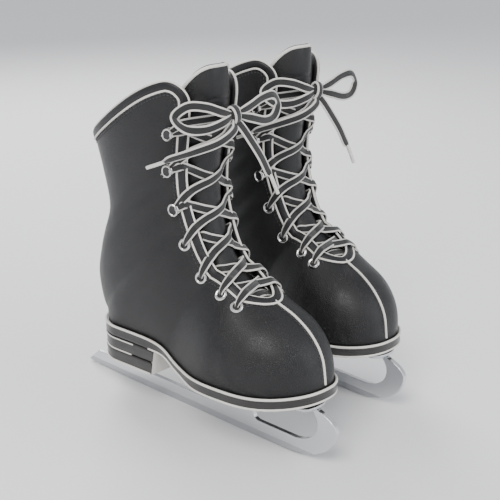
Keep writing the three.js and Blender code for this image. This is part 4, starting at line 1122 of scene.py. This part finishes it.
def lace_strip(path, faces, grow=1.0, first=0.0):
    """A stretch of lace along a path, with its pattern. grow narrows it."""
    width = np.ones((len(path), 2))
    width[:, 0] = grow
    points, quads = sweep(path, LACE_SECTION, faces=faces, grow=width, round_ends=0.5)
    return points, quads, lace_uv(path, first)


def join_strips(strips):
    """Several stretches as one set of points, quads and pattern places."""
    points, quads = together(*[s[:2] for s in strips])
    return points, quads, np.concatenate([s[2] for s in strips])


def fitting_spot(row, side):
    """Station and around of a fitting, and the around of the gap's edge beside it."""
    s, around = edge_spot(np.array([edge_at(FITTING_ROWS[row])]), side, FITTING_IN)
    return float(s[0]), float(around[0]), float(gap_edge(s)[0])


def off_skin(s, around, side, height):
    """A point at a height off the skin, with the outward direction. Its around is positive on the given side of
    the boot and negative past the middle."""
    hand = side if around >= 0 else -side
    out = skin_out(s, abs(around), hand)
    return skin(s, abs(around), hand) + out * height, out


def crossing(row, next_row, side, over):
    """A lace from a fitting straight across the gap to the next fitting on the other side. It rises through an
    eyelet or leaves the neck of a hook, is drawn tight over the tongue, and goes under the far edge to an
    eyelet or over it round a hook's neck. The upper of two crossing laces is lifted where they meet, by a
    sine."""
    s0, a0, edge0 = fitting_spot(row, side)
    s1, a1, edge1 = fitting_spot(next_row, -side)
    reach = a0 + a1
    low, high = (a0 - edge0) / reach, 1 - (a1 - edge1) / reach

    def spot(share, height):
        return off_skin(mix(s0, s1, share), mix(a0, -a1, share), side, height)

    leave = FROM_EYELET if row < len(EYELET_ROWS) else FROM_HOOK
    arrive = TO_EYELET if next_row < len(EYELET_ROWS) else TO_HOOK
    start = [spot(low * (1 - d / FITTING_IN), height) for d, height, _ in leave]
    end = [spot(1 - (1 - high) * (1 - d / FITTING_IN), height) for d, height, _ in arrive]
    middle = []
    for share in SHARES_ACROSS:
        lift = (1.2 if over else -0.3) * math.sin(math.pi * share)
        on_pad, out = spot(mix(low, high, share), -TONGUE_IN + LACE_OFF_PAD + lift)
        taut = mix(start[-1][0], end[0][0], share) + out * lift
        middle.append((taut + out * max(0.0, float((on_pad - taut) @ out)), out))
    stops = start + middle + end
    path = smooth_path([q[0] for q in stops], 90)
    faces = unit(smooth_path([q[1] for q in stops], 90))
    widths = [w for *_, w in leave] + [1.0] * len(middle) + [w for *_, w in arrive]
    grow = np.interp(np.linspace(0, 1, 90), np.linspace(0, 1, len(stops)), widths)
    return lace_strip(path, faces, grow, first=11.0 * row)


def first_bar():
    """The straight bar at the throat, from eyelet to eyelet between the leather and the tongue."""
    s, around, edge = fitting_spot(0, 1.0)
    under = mix(edge, around, 0.45)
    stops = [off_skin(s, at, 1.0, height) for at, height in (
        (around, -6.2), (under, -6.6), (edge * 0.85, -6.3), (0.0, -5.9), (-edge * 0.85, -6.3), (-under, -6.6),
        (-around, -6.2))]
    return lace_strip(smooth_path([q[0] for q in stops], 60), unit(smooth_path([q[1] for q in stops], 60)))


def to_knot(side):
    """The last stretch on one side, from the neck of the top hook over the tongue into the knot."""
    s, around, edge = fitting_spot(len(FITTING_ROWS) - 1, side)
    stops = [off_skin(s + rise, mix(edge, around, d / FITTING_IN), side, height)
             for d, height, rise in TO_KNOT]
    half_way = mix(stops[-1][0], KNOT_AT, 0.5) + FACE
    stops += [(half_way, unit(stops[-1][1] + FACE)), (KNOT_AT - 0.5 * FACE, FACE)]
    path = smooth_path([q[0] for q in stops], 50)
    faces = unit(smooth_path([q[1] for q in stops], 50))
    grow = np.interp(np.linspace(0, 1, 50), [0, 0.25, 0.5, 0.8, 1], [0.5, 0.62, 0.95, 0.9, 0.6])
    return lace_strip(path, faces, grow, first=90.0)


lace_braid = lace_finish("lace_braid", (0.012, 0.012, 0.013), (0.74, 0.72, 0.68))
for skate, hand in SKATES.items():
    strips = [first_bar()]
    for row in range(len(FITTING_ROWS) - 1):
        strips.append(crossing(row, row + 1, hand, over=False))
        strips.append(crossing(row, row + 1, -hand, over=True))
    strips += [to_knot(1.0), to_knot(-1.0)]
    points, quads, uv = join_strips(strips)
    make(f"lacing_{skate}", points, quads, skate, [lace_braid], "lace", [f"lace_{skate}"], uv=uv, angle=60)


# ---- The bow: knot, loops and free ends ----
# Each lace is tied in a bow over the tongue: one loop lies over the edge of the boot and the other stands free.
# The free ends hang down the boot and end in moulded aglets.
# Points from the knot, as (towards the loop that stands free, forward, up).
WIDE_LOOP = [(0, 0, 0), (-12, 0, 3.4), (-23, -5, 7.8), (-34, -12, 8.6), (-41, -18, 1), (-35, -13, -7),
             (-24, -5, -8), (-12, 1, -4), (0, 0, 0)]
FREE_LOOP = [(0, 0, 0), (12, 3, 4), (25, 4, 9), (37, 4, 9.5), (43, 3, 2), (38, 4, -6), (27, 5, -7.5),
             (13, 4, -3.6), (0, 0, 0)]
NEAR_TAIL = [(-4, 4, -10), (-17, 2, -17), (-30, -9, -23), (-38, -24, -29), (-41, -32, -33), (-44, -44, -38)]
FAR_TAIL = [(4, 5, -10), (9, 9, -20), (15, 12, -31), (20, 14, -42), (23, 15, -47), (28, 17, -60)]
KNOT_SECTION = flat_section(6.0, 2.2, 20, 2.6)
KNOT_CORE = [(0, -4.8), (2.4, -4.2), (3.8, -2.2), (4.2, 0), (3.8, 2.2), (2.4, 4.2), (0, 4.8)]
LOOP_POINTS = 120
TAIL_POINTS = 110
AGLET = 1.45  # radius


def aglet_finish():
    """A clear plastic aglet shrunk over the braid: glossy, with the braid's darkness under it."""
    material, tree, shader, add = finish_of("aglet_plastic", (0.62, 0.61, 0.58), 0.22, Coat_Weight=0.5,
                                            Coat_Roughness=0.1)
    place_of = add("ShaderNodeTexCoord").outputs["Object"]
    weave = add("ShaderNodeTexVoronoi", Vector=place_of, Scale=1300.0)
    bump = add("ShaderNodeBump", Height=weave.outputs["Distance"], Strength=0.2, Distance=0.0001)
    tree.links.new(bump.outputs[0], shader.inputs["Normal"])
    tone(tree, add, shader, weave.outputs["Distance"], (0.48, 0.47, 0.44), (0.72, 0.71, 0.67), at=(0.1, 0.6))
    return material


def from_knot(offsets, skate):
    """Points of the skate's frame from offsets that are given from the knot."""
    o = np.asarray(offsets, float)
    return KNOT_AT + np.stack([o[:, 0] * SKATES[skate], -o[:, 1], o[:, 2]], -1)


def free_lace(name, path, faces, skate, grow, nodes=()):
    """A free stretch of lace."""
    points, quads, uv = lace_strip(path, faces, grow)
    piece = make(name, points, quads, skate, [lace_braid], "lace", nodes, uv=uv, angle=60)
    ends = place(path, skate)


def bow_knot(skate):
    """A band of lace wrapped once round a short turned core, along an oval."""
    count = 60
    t = np.linspace(0, 2 * np.pi, count, endpoint=False)
    wrap = KNOT_AT + np.stack([1.2 * np.sin(t), -4.14 * np.cos(t), 6.0 * np.sin(t)], -1)
    band = sweep(wrap, KNOT_SECTION, faces=unit(wrap - KNOT_AT), closed=True)
    band_uv = np.stack([np.tile(KNOT_SECTION[:, 0] / 3.0, count),
                        np.repeat(np.arange(count) * 0.5, len(KNOT_SECTION))], -1)
    core, core_quads = lathe(KNOT_CORE, 20)
    points, quads = together(band, (core * [1.0, 0.8, 1.0] + KNOT_AT, core_quads))
    uv = np.concatenate([band_uv, np.tile([0.2, 0.0], (len(core), 1))])
    make(f"bow_knot_{skate}", points, quads, skate, [lace_braid], "lace", [f"lace_bow_{skate}"], uv=uv,
         angle=60)


def bow_loop(label, stops, skate):
    """One loop of the bow. Its face is turned forward and rolls up at the tip, and it narrows into the knot."""
    share = np.linspace(0, 1, LOOP_POINTS)
    tip = np.exp(-(((share - 0.5) / 0.16) ** 2))
    roll = FACE + np.array([0.0, 0.25, 0.55]) * tip[:, None]
    grow = 0.55 + 0.45 * smooth(0, 0.13, share) * smooth(0, 0.13, 1 - share)
    path = smooth_path(from_knot(stops, skate), LOOP_POINTS)
    free_lace(f"bow_loop_{label}_{skate}", path, unit(roll), skate, grow)


def tail(label, stops, skate):
    """A free end of the lace, which narrows into the aglet on its last sixth."""
    path = smooth_path(from_knot([(0, 1, -3), *stops], skate), TAIL_POINTS)
    end = int(TAIL_POINTS * 5 / 6)
    grow = np.interp(np.linspace(0, 1, end), [0, 0.12, 0.86, 1], [0.6, 1.0, 1.0, 0.42])
    points, quads = sweep(path[end - 4:], round_section(AGLET, 14), round_ends=0.7)
    aglet = make(f"aglet_{label}_{skate}", points, quads, skate, [aglet_plastic], "lace")
    free_lace(f"tail_lace_{label}_{skate}", path[:end], np.tile(FACE, (end, 1)), skate, grow,
              [f"lace_tail_{label}_{skate}"])


aglet_plastic = aglet_finish()
for skate in SKATES:
    bow_knot(skate)
    bow_loop("wide", WIDE_LOOP, skate)
    bow_loop("free", FREE_LOOP, skate)
    tail("near", NEAR_TAIL, skate)
    tail("far", FAR_TAIL, skate)


# ---- Floor, light and camera ----
# A wide pale floor under an even sky, three large soft lamps, and a camera that looks down on the toes from the
# outer side of the right skate.
AIM = (-0.0044, -0.0138, 0.1233)
FLOOR_HALF = 40
SKY = 0.8


def area_light(name, place_at, size, power, color):
    """A soft square lamp that looks at the middle of the pair."""
    light = bpy.data.lights.new(name, "AREA")
    light.size, light.energy, light.color = size, power, color
    lamp = bpy.data.objects.new(name, light)
    bpy.context.scene.collection.objects.link(lamp)
    lamp.location = place_at
    lamp.rotation_euler = (Vector(AIM) - Vector(place_at)).to_track_quat("-Z", "Y").to_euler()


floor_mesh = bpy.data.meshes.new("floor")
corners = [(x * FLOOR_HALF, y * FLOOR_HALF, 0) for x, y in ((-1, -1), (1, -1), (1, 1), (-1, 1))]
floor_mesh.from_pydata(corners, [], [(0, 1, 2, 3)])
floor_mesh.materials.append(finish_of("floor_pale", (0.86, 0.86, 0.87), 0.8)[0])
floor = bpy.data.objects.new("floor", floor_mesh)
bpy.context.scene.collection.objects.link(floor)

world = bpy.data.worlds.new("studio")
bpy.context.scene.world = world
world.use_nodes = True
sky = world.node_tree.nodes["Background"]
sky.inputs["Color"].default_value = (0.95, 0.97, 1.0, 1)
sky.inputs["Strength"].default_value = SKY
area_light("key", (-1.1, -0.5, 1.3), 0.9, 22, (1.0, 0.98, 0.95))
area_light("fill", (0.5, -1.5, 0.7), 1.2, 11, (0.95, 0.97, 1.0))
area_light("rim", (0.6, 1.2, 1.1), 0.8, 20, (1, 1, 1))

camera = bpy.data.cameras.new("camera")
camera.lens, camera.sensor_width = 76.6, 36
eye = bpy.data.objects.new("camera", camera)
bpy.context.scene.collection.objects.link(eye)
eye.location = (-0.5897, -0.5577, 0.3984)
eye.rotation_euler = (Vector(AIM) - eye.location).to_track_quat("-Z", "Y").to_euler()
bpy.context.scene.camera = eye
